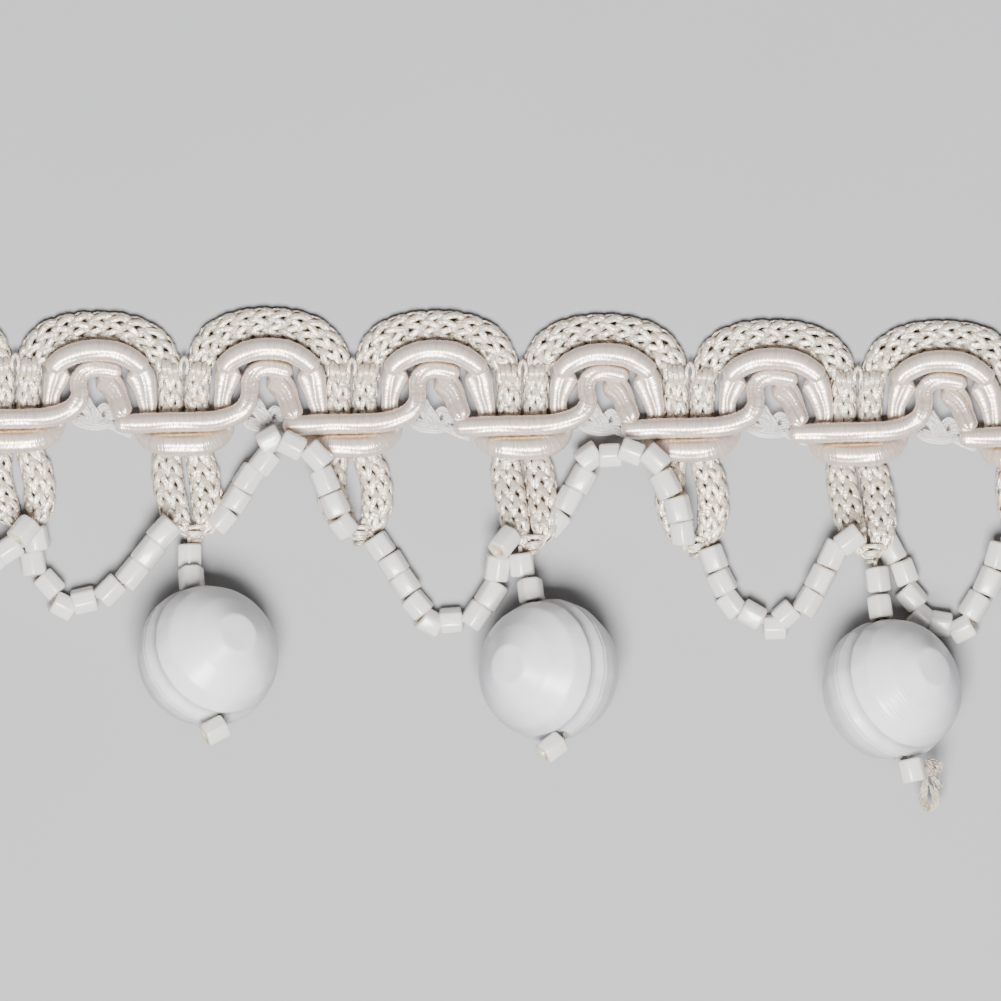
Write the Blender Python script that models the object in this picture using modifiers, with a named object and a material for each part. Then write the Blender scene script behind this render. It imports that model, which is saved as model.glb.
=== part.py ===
"""Beaded loop fringe trim: a cut length of seven scallops, lying face up on a flat surface.

The heading is a gimp of three cords. A knitted cord runs over every scallop and hangs below the
bars as a pair of legs, gathered at the tip. Two satin cords make the arches, columns and bars. Bead
strands swing from tip to tip, and every second tip carries a turned ball bead on a drop thread.

Axes: +X along the trim, +Y towards the scalloped edge, +Z out of the face. Tables are in millimetres.
"""

import math
from typing import NamedTuple

import bmesh
import bpy
import numpy as np
from mathutils import Matrix, Vector

MM = 0.001  # metres in a millimetre

# Heading
PITCH = 14.5  # from one scallop to the next
SCALLOPS = 7
HALF_PITCH = PITCH / 2
ROUTE_STEP = 1.15  # longest stretch between two sections of a cord
ROUTE_TURN = math.radians(24)  # most a cord turns between two sections
SATIN_EASE = 1.4  # stretch over which a satin cord evens out its bends
LOWEST_BAR = -5.0  # the legs hang free below this
NOMINAL_TIP = -12.4  # where the leg table puts the tip

# Beads
BEAD_RADIUS = 1.05
BEAD_LENGTH = 1.95
BEAD_SLACK = 0.1  # clear thread between two beads in a straight line
BEAD_SIDES = 6
THREAD_RADIUS = 0.2
TIE_LENGTH = 0.3  # bare thread before the first bead

# Ball beads
BALL_RADIUS = 6.15
BALL_STEPS = 22
HOLE_RADIUS = 0.6
HOLE_SIDES = 10
COLLAR_GAP = 0.32  # between a collar or stopper bead and the ball

NAME = "beaded_loop_fringe_trim"


class Knot(NamedTuple):
    """One point of a cord's route, with the width and thickness of its section there."""

    along: float
    across: float
    up: float
    width: float
    thick: float


class Scallop(NamedTuple):
    """How one scallop departs from the even repeat."""

    nudge: float
    rise: float
    crown: float  # height of the arch over the nominal one


class Junction(NamedTuple):
    """One place between two scallops, where the legs hang."""

    nudge: float
    lean: float  # how far the tip hangs to the right
    tip: float  # lowest point of the tip
    slit: float  # extra half gap between the two legs
    lift: float  # height of the tip over the surface


class Drop(NamedTuple):
    """One ball bead with the beads on its thread. Angles are in degrees."""

    ball: tuple
    pole: tuple  # where the flat pole of the turned bead shows, from its centre
    heading: float  # of the cross hole towards the collars, left of +Y
    dip: float  # of the cross hole towards the collars, below the level
    collar: tuple  # middle of the upper collar bead
    slide: float  # how far the stopper sits to the right of the hole's line
    stopper_turn: float  # of the stopper's own bore, left of the trim's length


class Finish(NamedTuple):
    """A plain Principled finish."""

    colour: tuple
    roughness: float
    metallic: float = 0.0
    alpha: float = 1.0


FINISHES = {
    "knit_yarn": Finish((0.80, 0.78, 0.73), 0.42),
    "satin": Finish((0.78, 0.70, 0.66), 0.36),
    "clear_thread": Finish((0.82, 0.80, 0.78), 0.18, alpha=0.6),
    "tie_thread": Finish((0.72, 0.62, 0.46), 0.55),
    "small_beads": Finish((0.78, 0.79, 0.77), 0.25),
    "ball_beads": Finish((0.78, 0.77, 0.79), 0.30),
}

SCALLOP_TABLE = [
    Scallop(0.0, -0.1, 1.00),
    Scallop(0.0, -0.2, 0.94),
    Scallop(0.15, -0.15, 1.02),
    Scallop(0.0, 0.0, 1.00),
    Scallop(0.0, 0.05, 0.98),
    Scallop(0.0, 0.05, 0.94),
    Scallop(0.0, -0.2, 1.01),
]

JUNCTION_TABLE = [
    Junction(0.0, 1.0, -12.0, 0.0, 0.0),
    Junction(0.1, 1.1, -11.9, 0.30, 0.0),
    Junction(0.1, 0.65, -11.95, 0.10, 0.6),
    Junction(0.0, 0.9, -12.1, 0.25, 0.0),
    Junction(0.15, 1.1, -12.4, 0.02, 1.6),
    Junction(0.0, 0.8, -12.7, 0.20, 0.0),
    Junction(-0.1, 1.4, -12.9, 0.05, 1.8),
    Junction(0.0, 1.0, -12.6, 0.0, 0.0),
]

# The knitted cord over a scallop, from its left neck to its right neck. up is its flat underside.
KNIT_ARCH = [
    Knot(-5.85, 3.1, 0, 2.45, 1.25),
    Knot(-5.2, 4.25, 0, 2.9, 1.35),
    Knot(-4.1, 5.25, 0, 3.0, 1.35),
    Knot(-2.3, 6.0, 0, 2.8, 1.35),
    Knot(0.0, 6.2, 0, 2.8, 1.35),
    Knot(2.3, 6.0, 0, 2.8, 1.35),
    Knot(4.0, 5.25, 0, 3.0, 1.35),
    Knot(5.15, 4.2, 0, 2.9, 1.35),
    Knot(5.85, 3.1, 0, 2.45, 1.25),
]

# The right-hand leg of a junction, from the neck down to the tip. The left-hand leg mirrors it.
KNIT_LEG = [
    Knot(1.15, 1.6, 0, 2.1, 1.15),
    Knot(1.06, -0.9, 0, 1.82, 1.1),
    Knot(1.06, -3.2, 0, 1.86, 1.1),
    Knot(1.25, -4.9, 0, 2.2, 1.15),
    Knot(1.58, -6.4, 0, 2.8, 1.35),
    Knot(1.56, -8.0, 0, 2.8, 1.35),
    Knot(1.3, -9.5, 0, 2.3, 1.25),
    Knot(0.92, -10.8, 0, 1.45, 1.05),
]
KNIT_TIP = [
    Knot(0.64, -11.6, 0, 0.85, 0.9),
    Knot(0.5, -12.05, 0, 0.6, 0.8),
    Knot(0.0, -12.35, 0, 0.5, 0.8),
]

# The outer satin cord over a scallop. up is the middle of its section from here on.
OUTER_ARCH = [
    Knot(-3.97, -0.9, 0.75, 1.5, 1.2),
    Knot(-3.95, 0.3, 1.05, 1.5, 1.25),
    Knot(-3.9, 1.5, 1.75, 1.6, 1.3),
    Knot(-3.6, 2.6, 2.3, 1.7, 1.3),
    Knot(-2.7, 3.45, 2.32, 1.75, 1.3),
    Knot(-1.4, 3.98, 2.37, 1.75, 1.3),
    Knot(0.1, 4.12, 2.37, 1.75, 1.3),
    Knot(1.7, 3.9, 2.37, 1.75, 1.3),
    Knot(3.05, 3.15, 2.35, 1.75, 1.3),
    Knot(3.7, 2.1, 2.1, 1.7, 1.3),
    Knot(3.9, 0.9, 1.5, 1.6, 1.3),
    Knot(4.12, -0.3, 0.85, 1.5, 1.25),
    Knot(4.28, -1.2, 0.75, 1.5, 1.2),
]
LOWER_BAR = [
    Knot(-3.2, -2.2, 0.75, 1.5, 1.2),
    Knot(-3.3, -3.1, 0.85, 1.5, 1.2),
    Knot(-2.85, -4.0, 1.55, 1.6, 1.25),
    Knot(-1.7, -4.3, 2.2, 1.7, 1.35),
    Knot(0.0, -4.32, 2.32, 1.75, 1.35),
    Knot(1.8, -4.2, 2.25, 1.7, 1.35),
    Knot(3.0, -3.75, 1.6, 1.6, 1.25),
    Knot(3.55, -2.85, 0.85, 1.5, 1.2),
    Knot(3.55, -1.8, 0.75, 1.5, 1.2),
]

# The inner satin cord over a scallop and along the upper bar.
INNER_ARCH = [
    Knot(-1.4, 0.75, 1.75, 1.6, 1.25),
    Knot(-1.6, 1.5, 1.15, 1.55, 1.25),
    Knot(-1.4, 2.3, 0.76, 1.5, 1.25),
    Knot(-0.75, 2.78, 0.76, 1.6, 1.25),
    Knot(0.15, 2.86, 0.76, 1.6, 1.25),
    Knot(0.95, 2.6, 0.76, 1.6, 1.25),
    Knot(1.3, 1.95, 0.8, 1.8, 1.25),
    Knot(1.2, 1.15, 1.1, 2.1, 1.25),
    Knot(1.45, 0.2, 1.65, 2.0, 1.25),
    Knot(1.85, -0.7, 2.15, 1.8, 1.3),
]
UPPER_BAR = [
    Knot(-4.95, -1.6, 2.38, 1.6, 1.35),
    Knot(-4.3, -2.15, 2.42, 1.7, 1.35),
    Knot(-3.0, -2.3, 2.42, 1.75, 1.35),
    Knot(-1.4, -2.24, 2.42, 1.75, 1.35),
    Knot(0.8, -2.17, 2.42, 1.75, 1.35),
    Knot(2.9, -2.0, 2.42, 1.75, 1.35),
    Knot(4.5, -1.55, 2.42, 1.75, 1.35),
    Knot(5.5, -0.8, 2.42, 1.7, 1.35),
    Knot(5.85, 0.05, 2.25, 1.6, 1.3),
]

# A neck binding passes over both legs and down beside each.
NECK_BINDING = [
    Knot(-2.15, 2.25, 1.6, 1.1, 0.3),
    Knot(-1.4, 2.35, 1.85, 1.1, 0.3),
    Knot(0.0, 2.4, 1.8, 1.1, 0.3),
    Knot(1.4, 2.35, 1.85, 1.1, 0.3),
    Knot(2.15, 2.25, 1.6, 1.1, 0.3),
]
CLEAR_CHAIN = [
    Knot(-2.3, -2.3, 0.85, 0.6, 0.4),
    Knot(-1.2, -2.05, 0.95, 1.6, 0.4),
    Knot(0.0, -2.0, 1.0, 1.9, 0.4),
    Knot(1.2, -2.15, 1.0, 1.7, 0.4),
    Knot(2.5, -2.9, 0.95, 0.5, 0.4),
]
# A tip binding lies over the two legs where they meet, measured from the tip.
TIP_BINDING = [
    Knot(-1.15, 1.15, 1.35, 0.6, 0.28),
    Knot(-0.6, 1.1, 1.6, 0.6, 0.28),
    Knot(0.0, 1.1, 1.64, 0.6, 0.28),
    Knot(0.6, 1.1, 1.6, 0.6, 0.28),
    Knot(1.15, 1.15, 1.35, 0.6, 0.28),
]

# Each strand's route from one tip to the next, left to right: along, across and up.
STRAND_ROUTES = [
    [
        (-48.6, -12.6, 1.1),
        (-48.2, -14.8, 1.1),
        (-46.9, -17.2, 1.1),
        (-45.0, -18.7, 1.1),
        (-42.9, -18.9, 1.1),
        (-40.9, -17.5, 1.1),
        (-39.3, -15.6, 1.4),
        (-38.0, -13.9, 2.2),
        (-37.4, -12.2, 3.2),
        (-37.4, -9.9, 3.7),
    ],
    [
        (-35.1, -10.9, 3.2),
        (-34.7, -12.8, 2.3),
        (-34.2, -14.6, 1.15),
        (-33.0, -16.8, 1.1),
        (-31.2, -18.5, 1.1),
        (-29.4, -18.0, 1.1),
        (-27.5, -16.9, 1.2),
        (-25.6, -15.2, 1.9),
        (-24.2, -13.3, 2.9),
        (-22.7, -11.0, 3.9),
    ],
    [
        (-18.6, -11.8, 1.1),
        (-17.1, -9.3, 1.1),
        (-15.8, -7.0, 1.6),
        (-14.6, -5.3, 2.7),
        (-13.6, -3.9, 3.7),
        (-12.0, -4.0, 4.4),
        (-10.2, -4.7, 4.5),
        (-9.2, -6.8, 3.6),
        (-8.1, -9.0, 3.0),
        (-6.9, -11.4, 2.8),
    ],
    [
        (-5.3, -12.3, 1.1),
        (-4.2, -13.5, 1.1),
        (-2.7, -15.3, 1.1),
        (-1.3, -17.5, 1.1),
        (0.0, -19.1, 1.1),
        (1.8, -19.3, 1.1),
        (3.9, -18.4, 1.1),
        (5.0, -16.7, 1.3),
        (5.25, -14.4, 2.5),
        (5.9, -11.7, 4.0),
    ],
    [
        (10.9, -11.6, 1.1),
        (11.8, -9.6, 1.1),
        (12.4, -8.0, 1.2),
        (13.1, -6.2, 1.6),
        (13.8, -4.7, 2.4),
        (15.2, -4.3, 3.2),
        (17.0, -4.2, 4.2),
        (18.6, -4.9, 4.5),
        (19.8, -6.7, 3.7),
        (20.8, -8.9, 3.0),
        (21.5, -11.5, 2.8),
    ],
    [
        (23.9, -12.5, 1.1),
        (24.4, -14.3, 1.1),
        (25.3, -16.3, 1.1),
        (26.8, -18.0, 1.1),
        (28.9, -19.0, 1.1),
        (30.7, -18.4, 1.1),
        (32.3, -16.7, 1.3),
        (33.3, -14.7, 2.2),
        (34.3, -12.7, 3.3),
        (35.8, -11.0, 4.4),
    ],
    [
        (40.2, -11.5, 1.1),
        (40.4, -13.6, 1.1),
        (41.0, -16.0, 1.1),
        (42.3, -18.0, 1.1),
        (44.0, -19.1, 1.1),
        (45.6, -18.4, 1.1),
        (46.6, -16.6, 1.1),
        (47.5, -14.6, 1.4),
        (48.4, -12.2, 2.4),
    ],
]

DROPS = [
    Drop((-19.05, -22.3), (2.63, 2.10), 14.0, 22.0, (-20.85, -13.65, 1.58), -1.0, 18),
    Drop((10.0, -23.05), (-3.53, 0.46), 13.4, 16.6, (7.65, -14.05, 2.4), -1.1, -8),
    Drop((39.4, -24.2), (3.41, 2.04), 9.0, 12.6, (38.05, -14.75, 3.3), 0.8, 82),
]

# Half of the turned bead's profile, from the pole to the seam: radius and height on its axis.
BALL_PROFILE = [
    (0.0, 5.82),
    (1.6, 5.82),
    (3.5, 4.52),
    (5.08, 3.0),
    (5.88, 1.58),
    (6.15, 0.35),
    (5.98, 0.0),
]
BALL_POLE = 5.82

TAIL = [
    Knot(42.45, -30.4, 5.6, 0.35, 0.35),
    Knot(43.05, -31.3, 4.7, 0.7, 0.4),
    Knot(42.75, -32.3, 3.9, 0.6, 0.35),
    Knot(42.85, -33.4, 3.1, 1.3, 0.35),
    Knot(42.6, -34.5, 2.4, 0.8, 0.3),
]

# Sections, as shares of half the width and of the thickness.
FLAT_FOOT = [
    (-0.6, 0.0),
    (0.6, 0.0),
    (1.0, 0.38),
    (0.84, 0.78),
    (0.4, 1.0),
    (-0.4, 1.0),
    (-0.84, 0.78),
    (-1.0, 0.38),
]
OVAL = [(math.cos(math.tau * i / 8), 0.5 * math.sin(math.tau * i / 8)) for i in range(8)]
RIBBON = [(-1.0, 0.0), (-0.6, -0.5), (0.6, -0.5), (1.0, 0.0), (0.6, 0.5), (-0.6, 0.5)]


def clear_scene():
    """Removes every object of the startup scene."""
    for item in list(bpy.data.objects):
        bpy.data.objects.remove(item, do_unlink=True)


def new_collection(name, hidden=False):
    """Adds a collection to the scene."""
    collection = bpy.data.collections.new(name)
    collection.hide_render = hidden
    bpy.context.scene.collection.children.link(collection)
    return collection


def new_material(name, finish):
    """A Principled material from a finish."""
    material = bpy.data.materials.new(name)
    material.use_nodes = True
    shader = material.node_tree.nodes["Principled BSDF"]
    shader.inputs["Base Color"].default_value = (*finish.colour, 1.0)
    shader.inputs["Roughness"].default_value = finish.roughness
    shader.inputs["Metallic"].default_value = finish.metallic
    shader.inputs["Alpha"].default_value = finish.alpha
    return material


def add_mesh_object(name, vertices, faces, slot):
    """Makes one part from vertices in millimetres. Its faces are turned outwards."""
    mesh = bpy.data.meshes.new(name)
    mesh.from_pydata([tuple(MM * value for value in vertex) for vertex in vertices], [], faces)
    work = bmesh.new()
    work.from_mesh(mesh)
    bmesh.ops.recalc_face_normals(work, faces=work.faces)
    work.to_mesh(mesh)
    work.free()
    return add_part(name, mesh, slot)


def add_part(name, mesh, slot):
    """Puts a mesh in the object's collection with its material."""
    mesh.materials.append(bpy.data.materials[slot])
    part = bpy.data.objects.new(name, mesh)
    bpy.data.collections[NAME].objects.link(part)
    mesh.shade_smooth()
    mesh.set_sharp_from_angle(angle=math.radians(40))
    return part


def spline(knots, fineness=24):
    """A Catmull-Rom curve through the rows of knots, sampled finely, with spans of square-root length."""
    rows = np.array(knots, float)
    rows = np.vstack([2 * rows[0] - rows[1], rows, 2 * rows[-1] - rows[-2]])
    steps = np.diff(rows, axis=0)
    spans = np.sqrt(np.linalg.norm(steps[:, :3], axis=1))[:, None]
    slopes = steps / spans
    # Each inner knot's slope weighs its two neighbours by the other one's span.
    inner = (slopes[:-1] * spans[1:] + slopes[1:] * spans[:-1]) / (spans[:-1] + spans[1:])
    t = np.linspace(0, 1, fineness, endpoint=False)[:, None]
    pieces = []
    for start, end, leave, arrive, span in zip(rows[1:], rows[2:-1], inner, inner[1:], spans[1:]):
        piece = (2 * t**3 - 3 * t**2 + 1) * start + (t**3 - 2 * t**2 + t) * leave * span
        pieces.append(piece + (3 * t**2 - 2 * t**3) * end + (t**3 - t**2) * arrive * span)
    return np.vstack([*pieces, rows[-2]])


def unit(vectors):
    """Vectors at length one."""
    return vectors / np.linalg.norm(vectors, axis=-1, keepdims=True)


def ease(curve, reach):
    """Evens out the bends of a fine curve over a stretch of the given reach. Its ends stay put."""
    distance = np.append(0, np.cumsum(np.linalg.norm(np.diff(curve[:, :3], axis=0), axis=1)))
    count = round(distance[-1] / 0.1)
    places = np.linspace(0, distance[-1], count + 1)
    even = np.column_stack([np.interp(places, distance, channel) for channel in curve.T])
    half = round(reach / 0.2)
    if half == 0:
        return even
    window = np.hanning(2 * half + 3)[1:-1]
    window /= window.sum()
    padded = np.vstack([2 * even[0] - even[half:0:-1], even, 2 * even[-1] - even[-2 : -half - 2 : -1]])
    return np.column_stack([np.convolve(channel, window, "valid") for channel in padded.T])


def thin_out(curve, step, turn):
    """Sections of a fine curve: close together where it bends, up to step apart where it is straight."""
    legs = np.diff(curve[:, :3], axis=0)
    lengths = np.linalg.norm(legs, axis=1)
    directions = unit(legs)
    cosines = np.clip((directions[1:] * directions[:-1]).sum(axis=1), -1, 1)
    turns = np.append(0, np.arccos(cosines))
    cost = np.append(0, np.cumsum(np.maximum(lengths / step, turns / turn)))
    places = np.linspace(0, cost[-1], max(2, math.ceil(cost[-1])) + 1)
    return np.column_stack([np.interp(places, cost, channel) for channel in curve.T])


def loft(curve, section):
    """Rings of one section carried along a curve of knots, as vertices and faces with closed ends."""
    centres = curve[:, :3]
    tangents = unit(np.gradient(centres, axis=0))
    sides = unit(np.cross(tangents, (0, 0, 1)))
    ups = np.cross(sides, tangents)
    shape = np.array(section)
    wide = shape[None, :, 0, None] * sides[:, None, :] * (curve[:, 3] / 2)[:, None, None]
    high = shape[None, :, 1, None] * ups[:, None, :] * curve[:, 4][:, None, None]
    rings = centres[:, None, :] + wide + high
    return rings.reshape(-1, 3), ring_faces(len(curve), len(section))


def ring_faces(rings, sides):
    """Quads between neighbouring rings, and one face over each end."""
    faces = []
    for base in range(0, (rings - 1) * sides, sides):
        for i in range(sides):
            after = (i + 1) % sides
            faces.append((base + i, base + after, base + sides + after, base + sides + i))
    faces.append(tuple(range(sides)))
    faces.append(tuple((rings - 1) * sides + i for i in range(sides)))
    return faces


def add_cord(name, knots, section, slot, soften=0.0):
    """One cord along its knots."""
    curve = thin_out(ease(spline(knots), soften), ROUTE_STEP, ROUTE_TURN)
    vertices, faces = loft(curve, section)
    return add_mesh_object(name, vertices, faces, slot)


def scallop_place(index):
    """Middle of a scallop on the trim's centre line."""
    row = SCALLOP_TABLE[index]
    return (index - SCALLOPS // 2) * PITCH + row.nudge, row.rise


def junction_place(index):
    """Middle of a junction, left of the scallop with the same index. Its rise is its neighbours' mean."""
    neighbours = SCALLOP_TABLE[max(index - 1, 0) : index + 1]
    rise = sum(row.rise for row in neighbours) / len(neighbours)
    return (index - SCALLOPS // 2) * PITCH - HALF_PITCH + JUNCTION_TABLE[index].nudge, rise


def in_scallop(knots, index):
    """Knots of the repeat, put on one scallop and raised to its crown."""
    x, y = scallop_place(index)
    crown = SCALLOP_TABLE[index].crown
    return [
        knot._replace(along=x + knot.along, across=y + knot.across * (crown if knot.across > 0 else 1))
        for knot in knots
    ]


def in_junction(knots, index):
    """Knots of the repeat, put on one junction."""
    x, y = junction_place(index)
    return [knot._replace(along=x + knot.along, across=y + knot.across) for knot in knots]


def leg_knots(index, side):
    """One leg of a junction from the neck to the tip. side is -1 for the left leg and 1 for the right."""
    x, y = junction_place(index)
    row = JUNCTION_TABLE[index]
    drop = (row.tip - y - LOWEST_BAR) / (NOMINAL_TIP - LOWEST_BAR)
    knots = []
    for knot in KNIT_LEG + KNIT_TIP:
        hang = max(0.0, (LOWEST_BAR - knot.across) / (LOWEST_BAR - NOMINAL_TIP))
        slit = row.slit * math.sin(math.pi * min(1.0, 1.15 * hang))
        below = min(0.0, knot.across - LOWEST_BAR)
        knots.append(
            Knot(
                x + side * (knot.along + slit) + row.lean * hang,
                y + knot.across - below + below * drop,
                row.lift * hang**2 * (3 - 2 * hang),
                knot.width,
                knot.thick,
            )
        )
    return knots


def build_knit_cord():
    """The knitted cord: up the first leg, over each scallop, and down and up each pair of legs."""
    route = leg_knots(0, 1)[: len(KNIT_LEG)][::-1]
    for index in range(SCALLOPS):
        route += in_scallop(KNIT_ARCH, index)
        left = leg_knots(index + 1, -1)
        if index == SCALLOPS - 1:
            route += left[: len(KNIT_LEG)]
        else:
            route += left + leg_knots(index + 1, 1)[-2::-1]
    add_cord("knit_cord", route, FLAT_FOOT, "knit_yarn")


def build_satin_cords():
    """The outer cord with the lower bars, and the inner cord with the upper bars."""
    outer = []
    inner = []
    for index in range(SCALLOPS):
        outer += in_scallop(OUTER_ARCH, index)
        inner += in_scallop(INNER_ARCH, index)
        if index < SCALLOPS - 1:
            outer += in_junction(LOWER_BAR, index + 1)
            inner += in_junction(UPPER_BAR, index + 1)
    # Each cut end stops in the middle of a bar.
    middle = len(LOWER_BAR) // 2
    outer = in_junction(LOWER_BAR, 0)[middle:] + outer + in_junction(LOWER_BAR, SCALLOPS)[: middle + 1]
    middle = len(UPPER_BAR) // 2
    inner = in_junction(UPPER_BAR, 0)[middle:] + inner + in_junction(UPPER_BAR, SCALLOPS)[: middle + 1]
    add_cord("satin_cord_outer", outer, OVAL, "satin", SATIN_EASE)
    add_cord("satin_cord_inner", inner, OVAL, "satin", SATIN_EASE)


def build_bindings():
    """The neck bindings over the legs and the clear chains between the bars."""
    for index in range(1, SCALLOPS):
        add_cord(f"neck_binding_{index}", in_junction(NECK_BINDING, index), RIBBON, "knit_yarn")
    for index in range(SCALLOPS):
        add_cord(f"clear_chain_{index + 1}", in_scallop(CLEAR_CHAIN, index), RIBBON, "clear_thread")


def bead_places(curve):
    """Middles and directions of the beads on a fine curve.

    Two neighbours touch at the inner corner of a bend, so the thread between them grows by the bead's
    diameter times the tangent of half the bend.
    """
    distance = np.append(0, np.cumsum(np.linalg.norm(np.diff(curve, axis=0), axis=1)))
    tangents = unit(np.gradient(curve, axis=0))

    def at(place, rows):
        return np.array([np.interp(place, distance, channel) for channel in rows.T])

    place = TIE_LENGTH + BEAD_LENGTH / 2
    found = []
    while place + BEAD_LENGTH / 2 + TIE_LENGTH <= distance[-1]:
        direction = unit(at(place, tangents))
        found.append((at(place, curve), direction))
        step = BEAD_LENGTH + BEAD_SLACK
        for _ in range(4):
            bend = direction.dot(unit(at(min(place + step, distance[-1]), tangents)))
            half = 0.5 * math.acos(max(-1.0, min(1.0, bend)))
            step = BEAD_LENGTH + BEAD_SLACK + 2 * BEAD_RADIUS * math.tan(half)
        place += step
    return found


def bead_rings(middle, direction):
    """Four rings of one small bead: a step out from the thread, and a step back in."""
    steps = ((-0.5, THREAD_RADIUS), (-0.5, BEAD_RADIUS), (0.5, BEAD_RADIUS), (0.5, THREAD_RADIUS))
    return [(middle + direction * BEAD_LENGTH * share, direction, radius) for share, radius in steps]


def strand_rings(start, beads, end):
    """Rings of a strand: bare thread, and a step out to the bead's full radius at each bead."""
    rings = [(start, beads[0][1], THREAD_RADIUS)]
    for middle, direction in beads:
        rings += bead_rings(middle, direction)
    rings.append((end, beads[-1][1], THREAD_RADIUS))
    return rings


def loft_round(rings, sides):
    """Round rings joined in order, as vertices and faces with closed ends."""
    angles = np.arange(sides) * math.tau / sides
    vertices = []
    for centre, direction, radius in rings:
        side = unit(np.cross(direction, (0, 0, 1)))
        up = np.cross(side, direction)
        circle = np.cos(angles)[:, None] * side + np.sin(angles)[:, None] * up
        vertices.append(np.array(centre) + radius * circle)
    return np.vstack(vertices), ring_faces(len(rings), sides)


def build_strands():
    """One swag of small beads for each route."""
    for number, route in enumerate(STRAND_ROUTES, start=1):
        curve = spline(route)
        beads = bead_places(curve)
        tail = beads[-1][0] + beads[-1][1] * (BEAD_LENGTH / 2 + TIE_LENGTH)
        vertices, faces = loft_round(strand_rings(curve[0], beads, tail), BEAD_SIDES)
        add_mesh_object(f"bead_strand_{number}", vertices, faces, "small_beads")


def build_tip_bindings():
    """A short thread wrap over every tip where two legs meet."""
    for index in range(1, SCALLOPS):
        x, _ = junction_place(index)
        row = JUNCTION_TABLE[index]
        knots = []
        for knot in TIP_BINDING:
            place = {"along": x + row.lean + knot.along, "across": row.tip + knot.across}
            knots.append(knot._replace(up=row.lift + knot.up, **place))
        add_cord(f"tip_binding_{index}", knots, RIBBON, "tie_thread")


def ball_centre(drop):
    """Middle of a ball bead that rests on the surface, and the tilt and heading of its turned axis."""
    tilt = math.asin(math.hypot(*drop.pole) / BALL_POLE)
    heading = math.atan2(drop.pole[1], drop.pole[0])
    reach = max(radius * math.sin(tilt) + height * math.cos(tilt) for radius, height in BALL_PROFILE)
    return np.array([*drop.ball, reach]), tilt, heading


def hole_direction(drop):
    """Direction of the ball's cross hole, from its stopper end to its collar end."""
    heading, dip = math.radians(drop.heading), math.radians(drop.dip)
    return np.array([-math.sin(heading) * math.cos(dip), math.cos(heading) * math.cos(dip), -math.sin(dip)])


def build_ball(number, drop, cutters):
    """A turned ball bead with a cross hole for the thread."""
    centre, tilt, heading = ball_centre(drop)
    outline = BALL_PROFILE + [(radius, -height) for radius, height in BALL_PROFILE[-2::-1]]
    mesh = bpy.data.meshes.new(f"ball_bead_{number}")
    points = [(radius * MM, 0.0, height * MM) for radius, height in outline]
    mesh.from_pydata(points, [(i, i + 1) for i in range(len(points) - 1)], [])
    ball = bpy.data.objects.new(f"ball_bead_{number}", mesh)
    bpy.data.collections[NAME].objects.link(ball)
    mesh.materials.append(bpy.data.materials["ball_beads"])
    turned = ball.modifiers.new("Turned", "SCREW")
    turned.steps = BALL_STEPS
    turned.render_steps = BALL_STEPS
    turned.use_merge_vertices = True
    turned.merge_threshold = 0.00001
    turned.use_smooth_shade = True
    ball.matrix_world = (
        Matrix.Translation(Vector(centre) * MM)
        @ Matrix.Rotation(heading, 4, "Z")
        @ Matrix.Rotation(tilt, 4, "Y")
    )
    drill_mesh = bpy.data.meshes.new(f"drill_{number}")
    work = bmesh.new()
    bmesh.ops.create_cone(
        work,
        cap_ends=True,
        segments=HOLE_SIDES,
        radius1=HOLE_RADIUS * MM,
        radius2=HOLE_RADIUS * MM,
        depth=3 * BALL_RADIUS * MM,
    )
    work.to_mesh(drill_mesh)
    work.free()
    drill = bpy.data.objects.new(f"drill_{number}", drill_mesh)
    cutters.objects.link(drill)
    drill.hide_render = True
    drill.display_type = "WIRE"
    bore = Vector(hole_direction(drop))
    lie = bore.to_track_quat("Z", "X").to_matrix().to_4x4()
    drill.matrix_world = Matrix.Translation(Vector(centre) * MM) @ lie
    drilled = ball.modifiers.new("Drilled", "BOOLEAN")
    drilled.operation = "DIFFERENCE"
    drilled.object = drill


def build_drop(number, drop, cutters):
    """The drop thread of one ball: two collar beads, bare thread through the ball, and the stopper bead."""
    centre, _, _ = ball_centre(drop)
    bore = hole_direction(drop)
    upper = np.array(drop.collar)
    lower = centre + bore * (BALL_RADIUS + COLLAR_GAP + BEAD_LENGTH / 2)
    fall = unit(lower - upper)
    turn = math.radians(drop.stopper_turn)
    across = np.array([math.cos(turn), math.sin(turn), 0.0])
    # A stopper that lies along the hole reaches back by half its length, and one across it by its radius.
    share = abs(across @ bore)
    reach = share * BEAD_LENGTH / 2 + math.sqrt(1 - share**2) * BEAD_RADIUS
    stopper = centre - bore * (BALL_RADIUS + COLLAR_GAP + reach)
    rings = [(upper - fall * (BEAD_LENGTH / 2 + TIE_LENGTH), fall, THREAD_RADIUS)]
    rings += bead_rings(upper, fall) + bead_rings(lower, -bore)
    rings.append((stopper, -bore, THREAD_RADIUS))
    vertices, faces = loft_round(rings, BEAD_SIDES)
    thread = add_mesh_object(f"drop_thread_{number}", vertices, faces, "small_beads")
    # The stopper bead is joined to the thread's end.
    stopper = stopper + np.array([drop.slide, 0.0, 0.0])
    mesh = bpy.data.meshes.new(f"stopper_{number}")
    work = bmesh.new()
    size = BEAD_RADIUS * MM
    bmesh.ops.create_cone(
        work, cap_ends=True, segments=BEAD_SIDES, radius1=size, radius2=size, depth=BEAD_LENGTH * MM
    )
    work.to_mesh(mesh)
    work.free()
    bead = bpy.data.objects.new(f"stopper_{number}", mesh)
    cutters.objects.link(bead)
    bead.hide_render = True
    bead.display_type = "WIRE"
    lie = Vector(across).to_track_quat("Z", "X").to_matrix().to_4x4()
    bead.matrix_world = Matrix.Translation(Vector(stopper) * MM) @ lie
    joined = thread.modifiers.new("Stopper", "BOOLEAN")
    joined.operation = "UNION"
    joined.object = bead


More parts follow.
